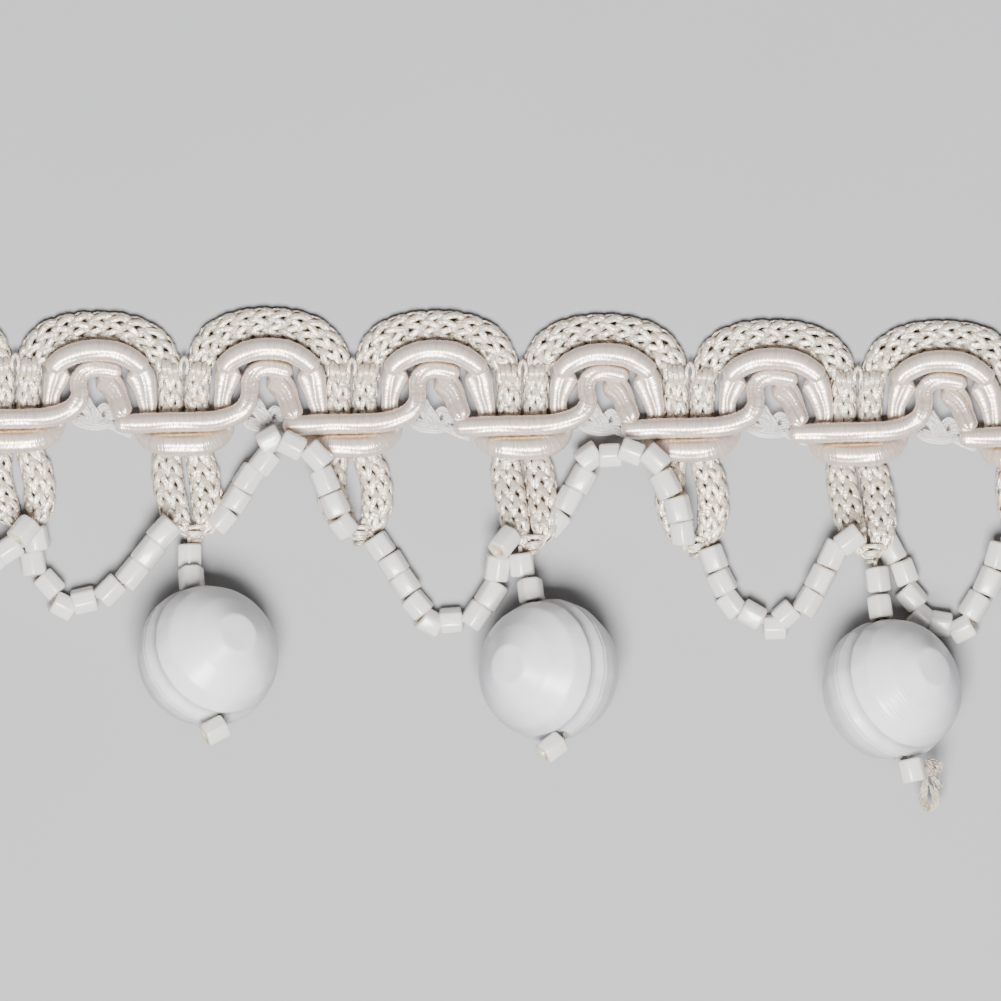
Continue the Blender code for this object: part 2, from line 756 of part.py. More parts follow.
def centre_on_origin():
    """Moves everything so that the middle of the box's underside is the origin."""
    graph = bpy.context.evaluated_depsgraph_get()
    corners = []
    for part in bpy.data.collections[NAME].objects:
        mesh = part.evaluated_get(graph).to_mesh()
        points = np.empty(3 * len(mesh.vertices), np.float32)
        mesh.vertices.foreach_get("co", points)
        world = np.array(part.matrix_world)
        points = points.reshape(-1, 3) @ world[:3, :3].T + world[:3, 3]
        corners += [points.min(axis=0), points.max(axis=0)]
        part.evaluated_get(graph).to_mesh_clear()
    low = np.min(corners, axis=0)
    high = np.max(corners, axis=0)
    shift = -Vector(((low[0] + high[0]) / 2, (low[1] + high[1]) / 2, low[2]))
    for thing in bpy.data.objects:
        thing.matrix_world = Matrix.Translation(shift) @ thing.matrix_world


def main():
    """Builds the trim."""
    clear_scene()
    new_collection(NAME)
    cutters = new_collection("cutters", hidden=True)
    for slot, finish in FINISHES.items():
        new_material(slot, finish)
    build_knit_cord()
    build_satin_cords()
    build_bindings()
    build_strands()
    build_tip_bindings()
    for number, drop in enumerate(DROPS, start=1):
        build_ball(number, drop, cutters)
        build_drop(number, drop, cutters)
    add_cord("thread_tail", TAIL, RIBBON, "tie_thread")
    bpy.context.view_layer.update()
    centre_on_origin()


main()
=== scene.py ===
"""Looks of a beaded loop fringe trim: knitted, satin-wrapped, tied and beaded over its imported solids.

Sizes are in millimetres, in the trim's own place: x along the trim from the middle scallop, y towards
the scalloped edge, z out of the face. A mesh gets metres in the row frame only when it is made.
"""

import logging
import math
from dataclasses import dataclass, field
from enum import Enum, IntEnum
from typing import Callable, NamedTuple, Sequence

import bpy
import numpy as np
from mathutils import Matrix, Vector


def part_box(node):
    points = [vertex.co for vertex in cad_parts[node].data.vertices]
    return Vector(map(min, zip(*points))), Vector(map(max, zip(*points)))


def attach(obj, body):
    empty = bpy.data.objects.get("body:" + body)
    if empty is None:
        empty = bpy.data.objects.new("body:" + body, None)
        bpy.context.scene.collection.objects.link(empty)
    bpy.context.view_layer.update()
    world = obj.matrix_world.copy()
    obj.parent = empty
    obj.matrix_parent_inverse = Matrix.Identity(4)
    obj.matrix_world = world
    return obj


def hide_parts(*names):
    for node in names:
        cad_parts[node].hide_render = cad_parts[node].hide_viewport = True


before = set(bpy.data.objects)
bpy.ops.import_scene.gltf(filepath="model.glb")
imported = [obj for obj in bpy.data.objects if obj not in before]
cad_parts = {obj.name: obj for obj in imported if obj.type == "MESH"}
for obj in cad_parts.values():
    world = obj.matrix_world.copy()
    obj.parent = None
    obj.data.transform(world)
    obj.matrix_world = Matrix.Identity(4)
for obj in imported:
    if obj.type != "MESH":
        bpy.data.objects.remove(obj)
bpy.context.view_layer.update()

MM = 0.001  # metres in a millimetre
TINY = 1e-9  # keeps a length from being nothing
UP = np.array([0.0, 0.0, 1.0])
LOG = logging.getLogger("trim")
Colour = tuple[float, float, float]


class Slot(Enum):
    """The record's material slots."""

    KNIT = "knit_yarn"
    SATIN = "satin"
    CLEAR = "clear_thread"
    TIE = "tie_thread"
    SMALL = "small_beads"
    BALL = "ball_beads"


class Seed(IntEnum):
    """Where the random draws for each kind of piece start."""

    NECK = 100
    TIE = 200
    SWAG = 300
    DROP = 400
    TAIL = 500
    CHAIN = 600


class Knot(NamedTuple):
    """One point of a cord's route, its section's width and thickness, and how far its plies show."""

    along: float
    across: float
    up: float
    width: float
    thick: float
    ply: float = 0.0

    @classmethod
    def rows(cls, *rows: Sequence[float]) -> "tuple[Knot, ...]":
        """Knots from rows of their numbers."""
        return tuple(cls(*row) for row in rows)


class Scallop(NamedTuple):
    """How one scallop departs from the even repeat: along, across, and in the height of its arches."""

    nudge: float
    rise: float
    crown: float


class Junction(NamedTuple):
    """One place between two scallops, where the legs hang.

    lean is how far to the right the tip lies, tip is its place across, slit is how far the legs part
    and lift is how high the tip is raised.
    """

    nudge: float
    lean: float
    tip: float
    slit: float
    lift: float


class Bead(NamedTuple):
    """A small bead's middle, and where its bore points: degrees from x, and degrees up."""

    along: float
    across: float
    up: float
    heading: float
    rise: float = 0.0

    @classmethod
    def rows(cls, *rows: Sequence[float]) -> "tuple[Bead, ...]":
        """Beads from rows of their numbers."""
        return tuple(cls(*row) for row in rows)

    def middle(self) -> np.ndarray:
        """The middle."""
        return np.array([self.along, self.across, self.up])

    def axis(self) -> np.ndarray:
        """The bore's direction."""
        return direction(self.heading, self.rise)


class Drop(NamedTuple):
    """One ball bead, turned about its pole, with the beads on its thread.

    pole is the upper pole's place from the ball's middle. heading and dip are the cross hole's direction
    towards the collars, in degrees. worn is how strongly the turning marks show in one place.
    """

    ball: tuple[float, float]
    pole: tuple[float, float]
    heading: float
    dip: float
    collar: Bead
    stopper: Bead
    worn: float = 0.0


PITCH = 14.5
HALF_PITCH = PITCH / 2
LOWEST_BAR = -5.0
NOMINAL_TIP = -12.4
SLIT_SPREAD = 1.15  # how much sooner than the tip the slit between two legs closes
THREAD_STEP = 0.12  # between two rings of a short thread
TAPER_LENGTH = 0.4  # of a short thread's ends

SCALLOPS = (
    Scallop(0.0, -0.1, 1.00),
    Scallop(0.0, -0.2, 0.94),
    Scallop(0.15, -0.15, 1.02),
    Scallop(0.0, 0.0, 1.00),
    Scallop(0.0, 0.05, 0.98),
    Scallop(0.0, 0.05, 0.94),
    Scallop(0.0, -0.2, 1.01),
)

JUNCTIONS = (
    Junction(0.0, 1.0, -12.0, 0.0, 0.0),
    Junction(0.1, 1.1, -11.9, 0.30, 0.0),
    Junction(0.1, 1.15, -12.3, 0.10, 0.6),
    Junction(0.0, 0.9, -12.1, 0.50, 0.0),
    Junction(0.15, 1.15, -12.7, -0.08, 1.6),
    Junction(0.0, 0.8, -12.7, 0.38, 0.0),
    Junction(-0.1, 1.4, -13.0, -0.04, 1.8),
    Junction(0.0, 1.0, -12.6, 0.0, 0.0),
)

KNIT_ARCH = Knot.rows(
    (-5.85, 3.1, 0, 2.45, 1.25), (-5.2, 4.25, 0, 2.9, 1.35), (-4.1, 5.25, 0, 3.0, 1.35),
    (-2.3, 6.0, 0, 2.8, 1.35), (0.0, 6.2, 0, 2.8, 1.35), (2.3, 6.0, 0, 2.8, 1.35),
    (4.0, 5.25, 0, 3.0, 1.35), (5.15, 4.2, 0, 2.9, 1.35), (5.85, 3.1, 0, 2.45, 1.25),
)
KNIT_LEG = Knot.rows(
    (1.2, 1.6, 0, 2.3, 1.25), (1.12, -0.9, 0, 2.15, 1.2), (1.12, -3.2, 0, 2.15, 1.2),
    (1.3, -4.9, 0, 2.4, 1.25), (1.48, -6.4, 0, 2.7, 1.35), (1.46, -8.0, 0, 2.75, 1.35),
    (1.38, -9.5, 0, 2.7, 1.3), (1.2, -10.6, 0, 2.4, 1.2), (0.9, -11.35, 0, 1.8, 1.05),
    (0.5, -12.0, 0, 1.05, 0.9), (0.0, -12.35, 0, 0.9, 0.9),
)
HANGING = 8  # rows of the leg that a cut end keeps

# The outer cord: its arch lies over the two ends of the stretch that runs down, under the bars and up.
OUTER_ARCH = Knot.rows(
    (-4.05, 2.05, 1.95, 1.5, 1.25), (-3.55, 2.85, 2.3, 1.75, 1.3), (-2.65, 3.5, 2.35, 1.85, 1.3),
    (-1.4, 3.98, 2.37, 1.85, 1.3), (0.1, 4.12, 2.37, 1.85, 1.3), (1.7, 3.92, 2.37, 1.85, 1.3),
    (3.0, 3.25, 2.35, 1.8, 1.3), (4.1, 2.35, 2.2, 1.6, 1.25),
)
FALLING = Knot.rows(
    (2.85, 2.6, 1.4, 2.0, 1.2, 1.0), (3.5, 2.0, 1.6, 2.5, 1.25, 1.0), (3.88, 0.95, 1.4, 2.15, 1.3, 1.0),
    (4.2, -0.3, 0.95, 1.75, 1.25, 1.0), (4.35, -1.2, 0.75, 1.5, 1.2, 1.0),
)
LOWER_BAR = Knot.rows(
    (-3.2, -2.2, 0.75, 1.5, 1.2, 0.6), (-3.4, -3.1, 0.85, 1.5, 1.2, 0.2), (-2.85, -3.8, 1.55, 1.75, 1.25),
    (-1.7, -4.08, 2.2, 1.95, 1.35), (0.0, -4.12, 2.3, 2.05, 1.35), (1.8, -3.97, 2.25, 2.0, 1.35),
    (3.0, -3.5, 1.6, 1.8, 1.25), (3.6, -2.85, 0.85, 1.5, 1.2, 0.5), (3.55, -1.8, 0.75, 1.5, 1.2, 1.0),
)
RISING = Knot.rows(
    (-3.97, -0.9, 0.75, 1.5, 1.2, 1.0), (-3.92, 0.3, 1.15, 1.55, 1.25, 1.0),
    (-3.62, 1.45, 1.5, 2.15, 1.3, 1.0), (-3.3, 2.3, 1.5, 2.3, 1.25, 1.0),
    (-2.85, 2.75, 1.4, 1.8, 1.2, 1.0),
)

# The inner cord: from a bar's round left end along it, up, over the small arch to its round right end.
UPPER_BAR = Knot.rows(
    (-5.85, -2.36, 2.2, 1.5, 1.2, 0.3), (-4.6, -2.4, 2.4, 1.7, 1.35), (-3.0, -2.32, 2.42, 1.75, 1.35),
    (-1.4, -2.24, 2.42, 1.75, 1.35), (0.8, -2.17, 2.42, 1.75, 1.35), (2.9, -2.0, 2.42, 1.75, 1.35),
    (4.35, -1.55, 2.42, 1.7, 1.35), (5.3, -0.85, 2.42, 1.65, 1.35, 0.5), (5.65, 0.0, 2.25, 1.5, 1.3, 1.0),
)
INNER_ARCH = Knot.rows(
    (-1.62, 0.7, 1.95, 1.5, 1.25, 1.0), (-1.62, 1.5, 1.7, 1.55, 1.25, 1.0),
    (-1.2, 2.2, 1.55, 1.55, 1.25, 0.6), (-0.4, 2.52, 1.5, 1.6, 1.25, 0.2), (0.6, 2.48, 1.55, 1.6, 1.25),
    (1.4, 2.3, 1.65, 1.5, 1.2), (2.05, 2.12, 1.6, 1.25, 1.05),
)
SLANT = Knot.rows(
    (0.1, 1.8, 0.8, 1.5, 1.2, 1.0), (0.7, 1.4, 1.25, 2.05, 1.25, 1.0), (1.35, 0.7, 1.5, 1.85, 1.3, 1.0),
    (1.72, -0.2, 1.75, 1.6, 1.3, 1.0), (2.0, -1.0, 2.2, 1.55, 1.25, 1.0),
    (2.35, -1.8, 2.7, 1.45, 1.1, 1.0),
)

# The clear chain's strands: half width, filaments, and points from the scallop's middle.
CLEAR_STRANDS = (
    (0.5, 7, ((-1.3, -0.3, 1.55), (-0.85, -1.05, 1.65), (-0.35, -1.75, 1.55), (-0.1, -2.3, 1.3))),
    (0.26, 4, (
        (-2.1, -2.0, 0.9), (-1.5, -2.4, 1.0), (-0.6, -2.6, 1.1), (0.4, -2.55, 1.05), (1.1, -2.2, 0.95),
    )),
    (0.3, 4, ((-1.8, -2.0, 1.1), (-0.9, -2.3, 1.25), (0.1, -2.4, 1.3), (0.9, -2.1, 1.15))),
    (0.2, 3, (
        (-0.1, -2.2, 1.2), (0.1, -1.35, 1.3), (0.5, -0.95, 1.35), (0.95, -1.25, 1.3), (1.0, -2.2, 1.1),
    )),
    (0.24, 4, ((0.8, -2.4, 0.9), (1.6, -2.75, 0.95), (2.3, -3.05, 0.9), (3.0, -3.3, 0.8))),
    (0.3, 4, ((0.6, -1.7, 1.35), (1.2, -1.6, 1.45), (1.8, -1.8, 1.5), (2.3, -2.1, 1.2))),
)

# The small loop between the strokes of a neck binding, from the junction's middle.
NECK_LOOP = np.array(
    [(-0.2, 1.9, 1.25), (-0.28, 2.8, 1.45), (0.02, 3.35, 1.4), (0.3, 2.75, 1.45), (0.18, 1.9, 1.25)]
)

# Where each strand's beads lie, from one tip to the next.
STRANDS = (
    Bead.rows(
        (-48.5, -13.6, 1.1, -80), (-47.9, -15.6, 1.1, -66), (-46.7, -17.3, 1.1, -45),
        (-44.9, -18.6, 1.2, -20), (-42.8, -18.7, 1.1, 12), (-41.0, -17.6, 1.1, 40),
        (-39.5, -16.0, 1.3, 47), (-38.0, -14.7, 1.7, 40), (-36.4, -13.5, 2.3, 36),
        (-35.1, -11.9, 3.2, 52, -22),
    ),
    Bead.rows(
        (-34.1, -12.6, 1.5, -78), (-34.3, -14.7, 1.1, -79), (-32.9, -16.5, 1.1, -48),
        (-31.7, -18.3, 1.2, -28, -8), (-29.9, -17.8, 1.3, 14), (-27.7, -16.9, 1.6, 47),
        (-25.8, -15.4, 2.1, 50), (-24.4, -13.6, 2.8, 52), (-23.1, -11.8, 3.6, 46),
    ),
    Bead.rows(
        (-18.15, -10.65, 1.1, 50), (-17.0, -8.9, 1.3, 60), (-16.0, -7.1, 1.8, 58), (-14.6, -5.6, 2.7, 54),
        (-14.1, -3.8, 3.6, 28), (-12.2, -4.2, 4.2, -22), (-10.1, -5.1, 4.5, -46), (-9.4, -7.2, 4.0, -66),
        (-8.5, -9.2, 3.5, -68), (-7.8, -10.9, 3.0, -52, -20),
    ),
    Bead.rows(
        (-4.6, -12.7, 1.1, -54), (-3.4, -14.3, 1.1, -57), (-2.4, -15.9, 1.2, -54),
        (-1.3, -17.7, 1.1, -48), (-0.2, -19.2, 1.2, -30, -10), (1.6, -19.0, 1.1, 3),
        (3.7, -18.5, 1.4, 54), (5.0, -16.7, 1.6, 60), (5.5, -14.4, 2.4, 83, 8),
        (6.1, -12.2, 3.9, 52, -28),
    ),
    Bead.rows(
        (10.4, -10.4, 1.1, 52), (11.5, -8.5, 1.2, 62), (12.6, -6.7, 1.6, 60), (13.2, -4.8, 2.4, 36),
        (15.0, -4.6, 3.2, 4), (16.8, -4.3, 3.9, -20), (18.8, -4.9, 4.5, -42), (19.8, -7.0, 4.1, -62),
        (20.9, -9.1, 3.6, -76), (21.3, -11.1, 3.1, -82, -10),
    ),
    Bead.rows(
        (24.0, -13.3, 1.1, -68), (24.8, -15.3, 1.2, -60), (25.6, -17.2, 1.1, -52),
        (27.4, -18.1, 1.3, -28), (29.4, -19.1, 1.1, 0), (30.3, -18.0, 1.4, 42), (32.2, -16.9, 1.5, 60),
        (33.2, -14.9, 2.2, 62), (34.2, -12.8, 3.1, 66), (35.6, -11.5, 4.3, 38),
    ),
    Bead.rows(
        (39.2, -12.3, 1.1, -62), (40.4, -14.2, 1.1, -68), (41.1, -16.3, 1.1, -50),
        (42.0, -18.1, 1.1, -38), (43.6, -18.6, 1.2, -10), (45.5, -19.0, 1.4, 28, 10),
        (46.5, -17.0, 1.3, 62), (47.7, -14.9, 1.6, 68), (48.4, -12.6, 2.5, 76),
    ),
)

DROPS = (
    Drop(
        (-19.05, -22.3), (2.63, 2.10), 14.0, 22.0,
        Bead(-20.9, -13.8, 1.6, -88), Bead(-18.3, -28.6, 9.4, 28, -15),
    ),
    Drop(
        (10.0, -23.05), (-3.53, 0.46), 13.4, 16.6,
        Bead(7.6, -14.1, 2.4, -84), Bead(10.4, -29.6, 8.8, 36, -18),
    ),
    Drop(
        (39.4, -24.2), (3.41, 2.04), 9.0, 12.6,
        Bead(38.05, -14.85, 3.3, -82), Bead(41.15, -31.0, 7.9, -75), worn=1.0,
    ),
)

# The ball from pole to pole, by radius and height. The cove is on one side of the seam only.
BALL_PROFILE = (
    (0.0, 5.82), (1.7, 5.78), (3.6, 4.55), (5.15, 3.1), (5.82, 1.62), (5.6, 1.3), (5.68, 0.8),
    (5.95, 0.4), (6.15, 0.15), (6.15, -0.15), (5.98, -1.3), (5.2, -3.1), (3.6, -4.55), (1.7, -5.78),
    (0.0, -5.82),
)
BALL_RADIUS = 6.15
BALL_POLE = 5.82

# The loose thread end: a tuft beside the stopper, a loop that hangs below it, and a wisp.
TUFT = Knot.rows(
    (42.25, -30.25, 5.9, 0.3, 0.3), (42.7, -30.6, 5.6, 0.9, 0.5), (43.15, -30.95, 5.2, 1.35, 0.6),
    (43.45, -31.4, 4.8, 1.1, 0.5),
)
HANK = Knot.rows(
    (42.4, -31.5, 5.0, 0.3, 0.3), (42.35, -32.6, 4.2, 0.5, 0.4), (42.3, -33.7, 3.4, 0.55, 0.4),
    (42.75, -34.45, 2.8, 0.5, 0.4), (43.35, -33.9, 3.2, 0.55, 0.4), (43.2, -32.9, 4.0, 0.5, 0.4),
    (42.75, -31.9, 4.7, 0.4, 0.3),
)
WISP = Knot.rows(
    (42.9, -31.5, 4.8, 0.3, 0.2), (43.4, -32.0, 4.5, 0.35, 0.2), (43.9, -32.6, 4.2, 0.5, 0.2),
)


# Shading


def operator(operation: str, swapped: bool = False) -> "Callable[[Wire, Wire | float], Wire]":
    """A method for one of Python's operators, which adds a Math node.

    Args:
        operation: the node's operation.
        swapped: whether the other value comes first.
    Returns:
        The method.
    """

    def method(self: "Wire", other: "Wire | float") -> "Wire":
        """The operation's result."""
        return self.combined(operation, other, self) if swapped else self.combined(operation, self, other)

    return method


class Wire:
    """A socket's value inside one shader tree. Python's operators on it add Math nodes."""

    def __init__(self, tree: "ShaderTree", socket: bpy.types.NodeSocket) -> None:
        """Keeps the tree and the socket."""
        self.tree = tree
        self.socket = socket

    def combined(self, operation: str, *values: "Wire | float") -> "Wire":
        """One Math node on the values, in order."""
        return self.tree.node("ShaderNodeMath", {"operation": operation}, dict(enumerate(values)))

    __add__ = operator("ADD")
    __sub__ = operator("SUBTRACT")
    __rsub__ = operator("SUBTRACT", swapped=True)
    __mul__ = operator("MULTIPLY")

    def sine(self) -> "Wire":
        """The sine."""
        return self.combined("SINE", self)

    def ramp(self, low: float, high: float) -> "Wire":
        """Smoothly from 0 at low to 1 at high."""
        kind = {"interpolation_type": "SMOOTHSTEP"}
        return self.tree.node("ShaderNodeMapRange", kind, {0: self, 1: low, 2: high})


class Grain(NamedTuple):
    """Noise on a strand: changes in a turn round it and in a millimetre along it, and finer steps."""

    around: float
    along: float
    detail: float = 2.0


class ShaderTree:
    """A material's nodes around one Principled shader."""

    def __init__(self, name: str) -> None:
        """Starts a material with an empty Principled shader.

        Args:
            name: the material's name.
        """
        self.material = bpy.data.materials.new(name)
        self.material.use_nodes = True
        self.nodes = self.material.node_tree.nodes
        self.links = self.material.node_tree.links
        self.shader = self.nodes["Principled BSDF"]

    def node(
        self,
        kind: str,
        settings: dict | None = None,
        inputs: dict | None = None,
        output: int | str = 0,
    ) -> Wire:
        """Adds one node.

        Args:
            kind: the node's type.
            settings: its properties, set before its sockets.
            inputs: a value or Wire for each socket, by name or place.
            output: the socket that the Wire stands for.
        Returns:
            The node's output.
        """
        made = self.nodes.new(kind)
        for name, value in (settings or {}).items():
            setattr(made, name, value)
        for place, value in (inputs or {}).items():
            self.feed(made.inputs[place], value)
        return Wire(self, made.outputs[output])

    def feed(self, socket: bpy.types.NodeSocket, value: "Wire | float | Sequence[float]") -> None:
        """Links a Wire to a socket, or sets the socket's own value."""
        if isinstance(value, Wire):
            self.links.new(value.socket, socket)
        else:
            socket.default_value = value

    def uv(self) -> tuple[Wire, Wire]:
        """Turns round the strand, and millimetres along it."""
        coordinates = self.node("ShaderNodeTexCoord", output="UV")
        parts = self.node("ShaderNodeSeparateXYZ", None, {0: coordinates})
        return parts, Wire(self, parts.socket.node.outputs[1])

    def attribute(self, name: str) -> Wire:
        """A number kept on the mesh's points."""
        return self.node("ShaderNodeAttribute", {"attribute_name": name}, output="Fac")

    def noise(self, vector: Wire, scale: float = 1.0, detail: float = 2.0) -> Wire:
        """Noise about 0.5 on a vector."""
        return self.node("ShaderNodeTexNoise", None, {"Vector": vector, "Scale": scale, "Detail": detail})

    def cloud(self, scale: float) -> Wire:
        """Noise in space, with so many changes in a metre."""
        return self.noise(self.node("ShaderNodeTexCoord", output="Object"), scale)

    def grain(self, around: Wire, along: Wire, grain: Grain) -> Wire:
        """Noise on the strand's own surface."""
        inputs = {0: around * grain.around, 1: along * grain.along}
        return self.noise(self.node("ShaderNodeCombineXYZ", None, inputs), detail=grain.detail)

    def mix(self, share: Wire, first: "Wire | Colour", second: "Wire | Colour") -> Wire:
        """A colour between two."""
        inputs = {0: share, 6: self.colour(first), 7: self.colour(second)}
        return self.node("ShaderNodeMix", {"data_type": "RGBA"}, inputs, output=2)

    @staticmethod
    def colour(value: "Wire | Colour") -> Wire | Sequence[float]:
        """A colour with its alpha, or the Wire as it is."""
        return value if isinstance(value, Wire) else (*value, 1.0)

    def bump(self, height: Wire, depth: float) -> Wire:
        """A normal bent by a height whose steps from 0 to 1 are so many millimetres deep."""
        return self.node("ShaderNodeBump", None, {"Height": height, "Distance": depth * MM})

    def finish(self, **sockets: "Wire | float | Sequence[float]") -> bpy.types.Material:
        """Feeds the Principled shader's sockets, named with underscores, and gives the material."""
        for name, value in sockets.items():
            self.feed(self.shader.inputs[name.replace("_", " ")], value)
        return self.material


@dataclass(frozen=True)
class YarnFinish:
    """Pearly multifilament yarn: fine filaments along it, with a bright sheen."""

    name: str = "pearl yarn"
    light: Colour = (0.85, 0.748, 0.625)
    shade: Colour = (0.37, 0.285, 0.195)
    filament: Grain = Grain(9.0, 0.9, 3.0)
    crinkle: Grain = Grain(2.0, 3.2)
    patches: float = 900.0
    relief: float = 0.12
    roughness: float = 0.26
    metallic: float = 0.45

    def material(self) -> bpy.types.Material:
        """Height is noise stretched along the yarn. Colour goes to shade by the painted shade of deep and
        downward yarn, the tip ties' tan, patches and filaments.
        """
        tree = ShaderTree(self.name)
        around, along = tree.uv()
        filament = tree.grain(around, along, self.filament)
        patch = tree.cloud(self.patches)
        crinkle = tree.grain(around, along, self.crinkle)
        # painted shade of the knit's deep and downward yarn, and the tip ties' tan
        deep = tree.attribute("stain_and_shade")
        share = (deep * 0.75 + (0.62 - patch) * 0.35 + (0.5 - filament) * 0.5).ramp(0.0, 0.8)
        return tree.finish(
            Base_Color=tree.mix(share, self.light, self.shade),
            Roughness=filament * 0.16 + self.roughness,
            Metallic=self.metallic,
            Specular_IOR_Level=0.75,
            Normal=tree.bump(filament + crinkle * 1.2, self.relief),
        )


@dataclass(frozen=True)
class SatinFinish:
    """Satin wrapping: fine threads wound across the cord, smooth and bright."""

    name: str = "satin wrap"
    light: Colour = (0.89, 0.745, 0.645)
    shade: Colour = (0.47, 0.38, 0.35)
    # the colour of the painted shade in creases and of the painted shadow lines
    tan: Colour = (0.60, 0.42, 0.22)
    hollow: float = 0.8  # brightness between two threads, as a share of the light colour
    wrap: float = 0.12  # millimetres from one wrapping thread to the next
    drift: Grain = Grain(3.0, 0.7)
    thread: Grain = Grain(1.6, 8.0, 3.0)
    group: Grain = Grain(2.2, 3.4)
    slant: float = 0.7  # millimetres along the cord in a turn of a thread
    relief: float = 0.034
    roughness: float = 0.35
    metallic: float = 0.5

    def material(self) -> bpy.types.Material:
        """Height is a sine of the place along the cord, broken up by noise.

        Painted shade in creases and along shadow lines turns the colour tan, and painted shade where the cord
        faces away from the light dulls it.
        """
        tree = ShaderTree(self.name)
        around, along = tree.uv()
        drift = tree.grain(around, along, self.drift)
        turn = (along + drift * 0.4) * (math.tau / self.wrap)
        slanted = along + around * self.slant
        thread = tree.grain(around, slanted, self.thread)
        group = tree.grain(around, slanted, self.group)
        ridge = turn.sine() * 0.12 + thread + group * 1.5
        # painted shade in creases and along shadow lines turns the satin tan
        share = (tree.attribute("stain_and_shade") * 1.25 - thread * 0.3).ramp(0.0, 0.9)
        hollow = tuple(self.hollow * part for part in self.light)
        base = tree.mix((thread * 0.5 + group * 0.5).ramp(0.32, 0.6), hollow, self.light)
        # painted shade where the cord faces away from the light
        base = tree.mix(tree.attribute("tone"), base, self.shade)
        return tree.finish(
            Base_Color=tree.mix(share, base, self.tan),
            Roughness=self.roughness - thread * 0.12,
            Metallic=self.metallic,
            Specular_IOR_Level=0.8,
            Normal=tree.bump(ridge, self.relief),
        )


@dataclass(frozen=True)
class ClearFinish:
    """Transparent flat monofilament."""

    name: str = "clear monofilament"
    colour: Colour = (0.82, 0.77, 0.73)
    glint: Colour = (0.95, 0.94, 0.93)
    streak: Grain = Grain(9.0, 0.5, 3.0)
    relief: float = 0.06
    alpha: float = 0.16  # where there is no streak

    def material(self) -> bpy.types.Material:
        """Alpha and roughness vary with streaks along the strand."""
        tree = ShaderTree(self.name)
        around, along = tree.uv()
        streak = tree.grain(around, along, self.streak)
        return tree.finish(
            Base_Color=tree.mix(streak.ramp(0.3, 0.7), self.colour, self.glint),
            Roughness=streak * 0.2 + 0.08,
            Alpha=streak * 0.5 + self.alpha,
            Specular_IOR_Level=0.9,
            Normal=tree.bump(streak, self.relief),
        )


@dataclass(frozen=True)
class TieFinish:
    """Fine cream to tan tying thread."""

    name: str = "tie thread"
    light: Colour = (0.84, 0.76, 0.64)
    shade: Colour = (0.42, 0.35, 0.26)
    plies: float = 2.0
    twist: float = 1.6  # turns in a millimetre
    patches: float = 700.0
    relief: float = 0.03

    def material(self) -> bpy.types.Material:
        """Two plies twist along the thread, and the colour drifts from cream to tan."""
        tree = ShaderTree(self.name)
        around, along = tree.uv()
        ply = ((around * self.plies + along * self.twist) * math.tau).sine()
        drift = tree.cloud(self.patches)
        share = (drift + tree.attribute("stain_and_shade") * 0.5).ramp(0.35, 0.9)
        return tree.finish(
            Base_Color=tree.mix(share, self.light, self.shade),
            Roughness=drift * 0.2 + 0.45,
            Sheen_Weight=0.3,
            Normal=tree.bump(ply, self.relief),
        )


@dataclass(frozen=True)
class SmallBeadFinish:
    """Opaque white glass bead, drawn and cut: glossy, with faint lengthwise streaks."""

    name: str = "white cut bead"
    light: Colour = (0.65, 0.635, 0.60)
    # the bore's tan, also the colour of the painted shade
    tan: Colour = (0.50, 0.38, 0.24)
    brighter: float = 1.07  # the lightest bead against the darkest
    streak: Grain = Grain(16.0, 0.35)
    relief: float = 0.05

    def material(self) -> bpy.types.Material:
        """Streaks run along the bead; stain shows the tan bore, with painted shade on the ends and the low
        side; tone shifts each bead a little.
        """
        tree = ShaderTree(self.name)
        around, along = tree.uv()
        streak = tree.grain(around, along, self.streak)
        tone = tree.attribute("tone")
        base = tree.mix(tone, self.light, tuple(self.brighter * part for part in self.light))
        return tree.finish(
            Base_Color=tree.mix(tree.attribute("stain_and_shade"), base, self.tan),
            Roughness=streak * 0.14 + 0.2,
            Specular_IOR_Level=0.6,
            Coat_Weight=0.35,
            Coat_Roughness=0.12,
            Normal=tree.bump(streak, self.relief),
        )


@dataclass(frozen=True)
class BallFinish:
    """Cool white turned bead with faint turning marks."""

    name: str = "white ball bead"
    colour: Colour = (0.745, 0.745, 0.765)
    # the colour of the clouds and of the painted shade
    dull: Colour = (0.42, 0.42, 0.44)
    marks: Grain = Grain(1.2, 6.0, 4.0)
    arcs: Grain = Grain(9.0, 3.0)
    clouds: float = 260.0
    relief: float = 0.018

    def material(self) -> bpy.types.Material:
        """Turning marks are noise of the place along the profile.

        Painted shade dulls the cove, the hole and the foot, beside random clouds. Tone brings out arcs where
        the bead is worn.
        """
        tree = ShaderTree(self.name)
        around, along = tree.uv()
        marks = tree.grain(around, along, self.marks)
        cloud = tree.cloud(self.clouds)
        arcs = tree.grain(around, along, self.arcs) * tree.attribute("tone")
        share = ((cloud - 0.35) * 0.9 + tree.attribute("stain_and_shade")).ramp(0.0, 1.0)
        return tree.finish(
            Base_Color=tree.mix(share, self.colour, self.dull),
            Roughness=marks * 0.12 + 0.27 + cloud * 0.06,
            Specular_IOR_Level=0.5,
            Coat_Weight=0.25,
            Coat_Roughness=0.2,
            Normal=tree.bump(marks + arcs * 9.0, self.relief),
        )


# Surfaces


def unit(vectors: np.ndarray) -> np.ndarray:
    """Vectors at length one."""
    return vectors / np.linalg.norm(vectors, axis=-1, keepdims=True)


def sideways(along: np.ndarray, facing: np.ndarray = UP) -> np.ndarray:
    """Directions square to a line's own and to the way that its upper side faces."""
    return unit(np.cross(along, facing) + TINY)


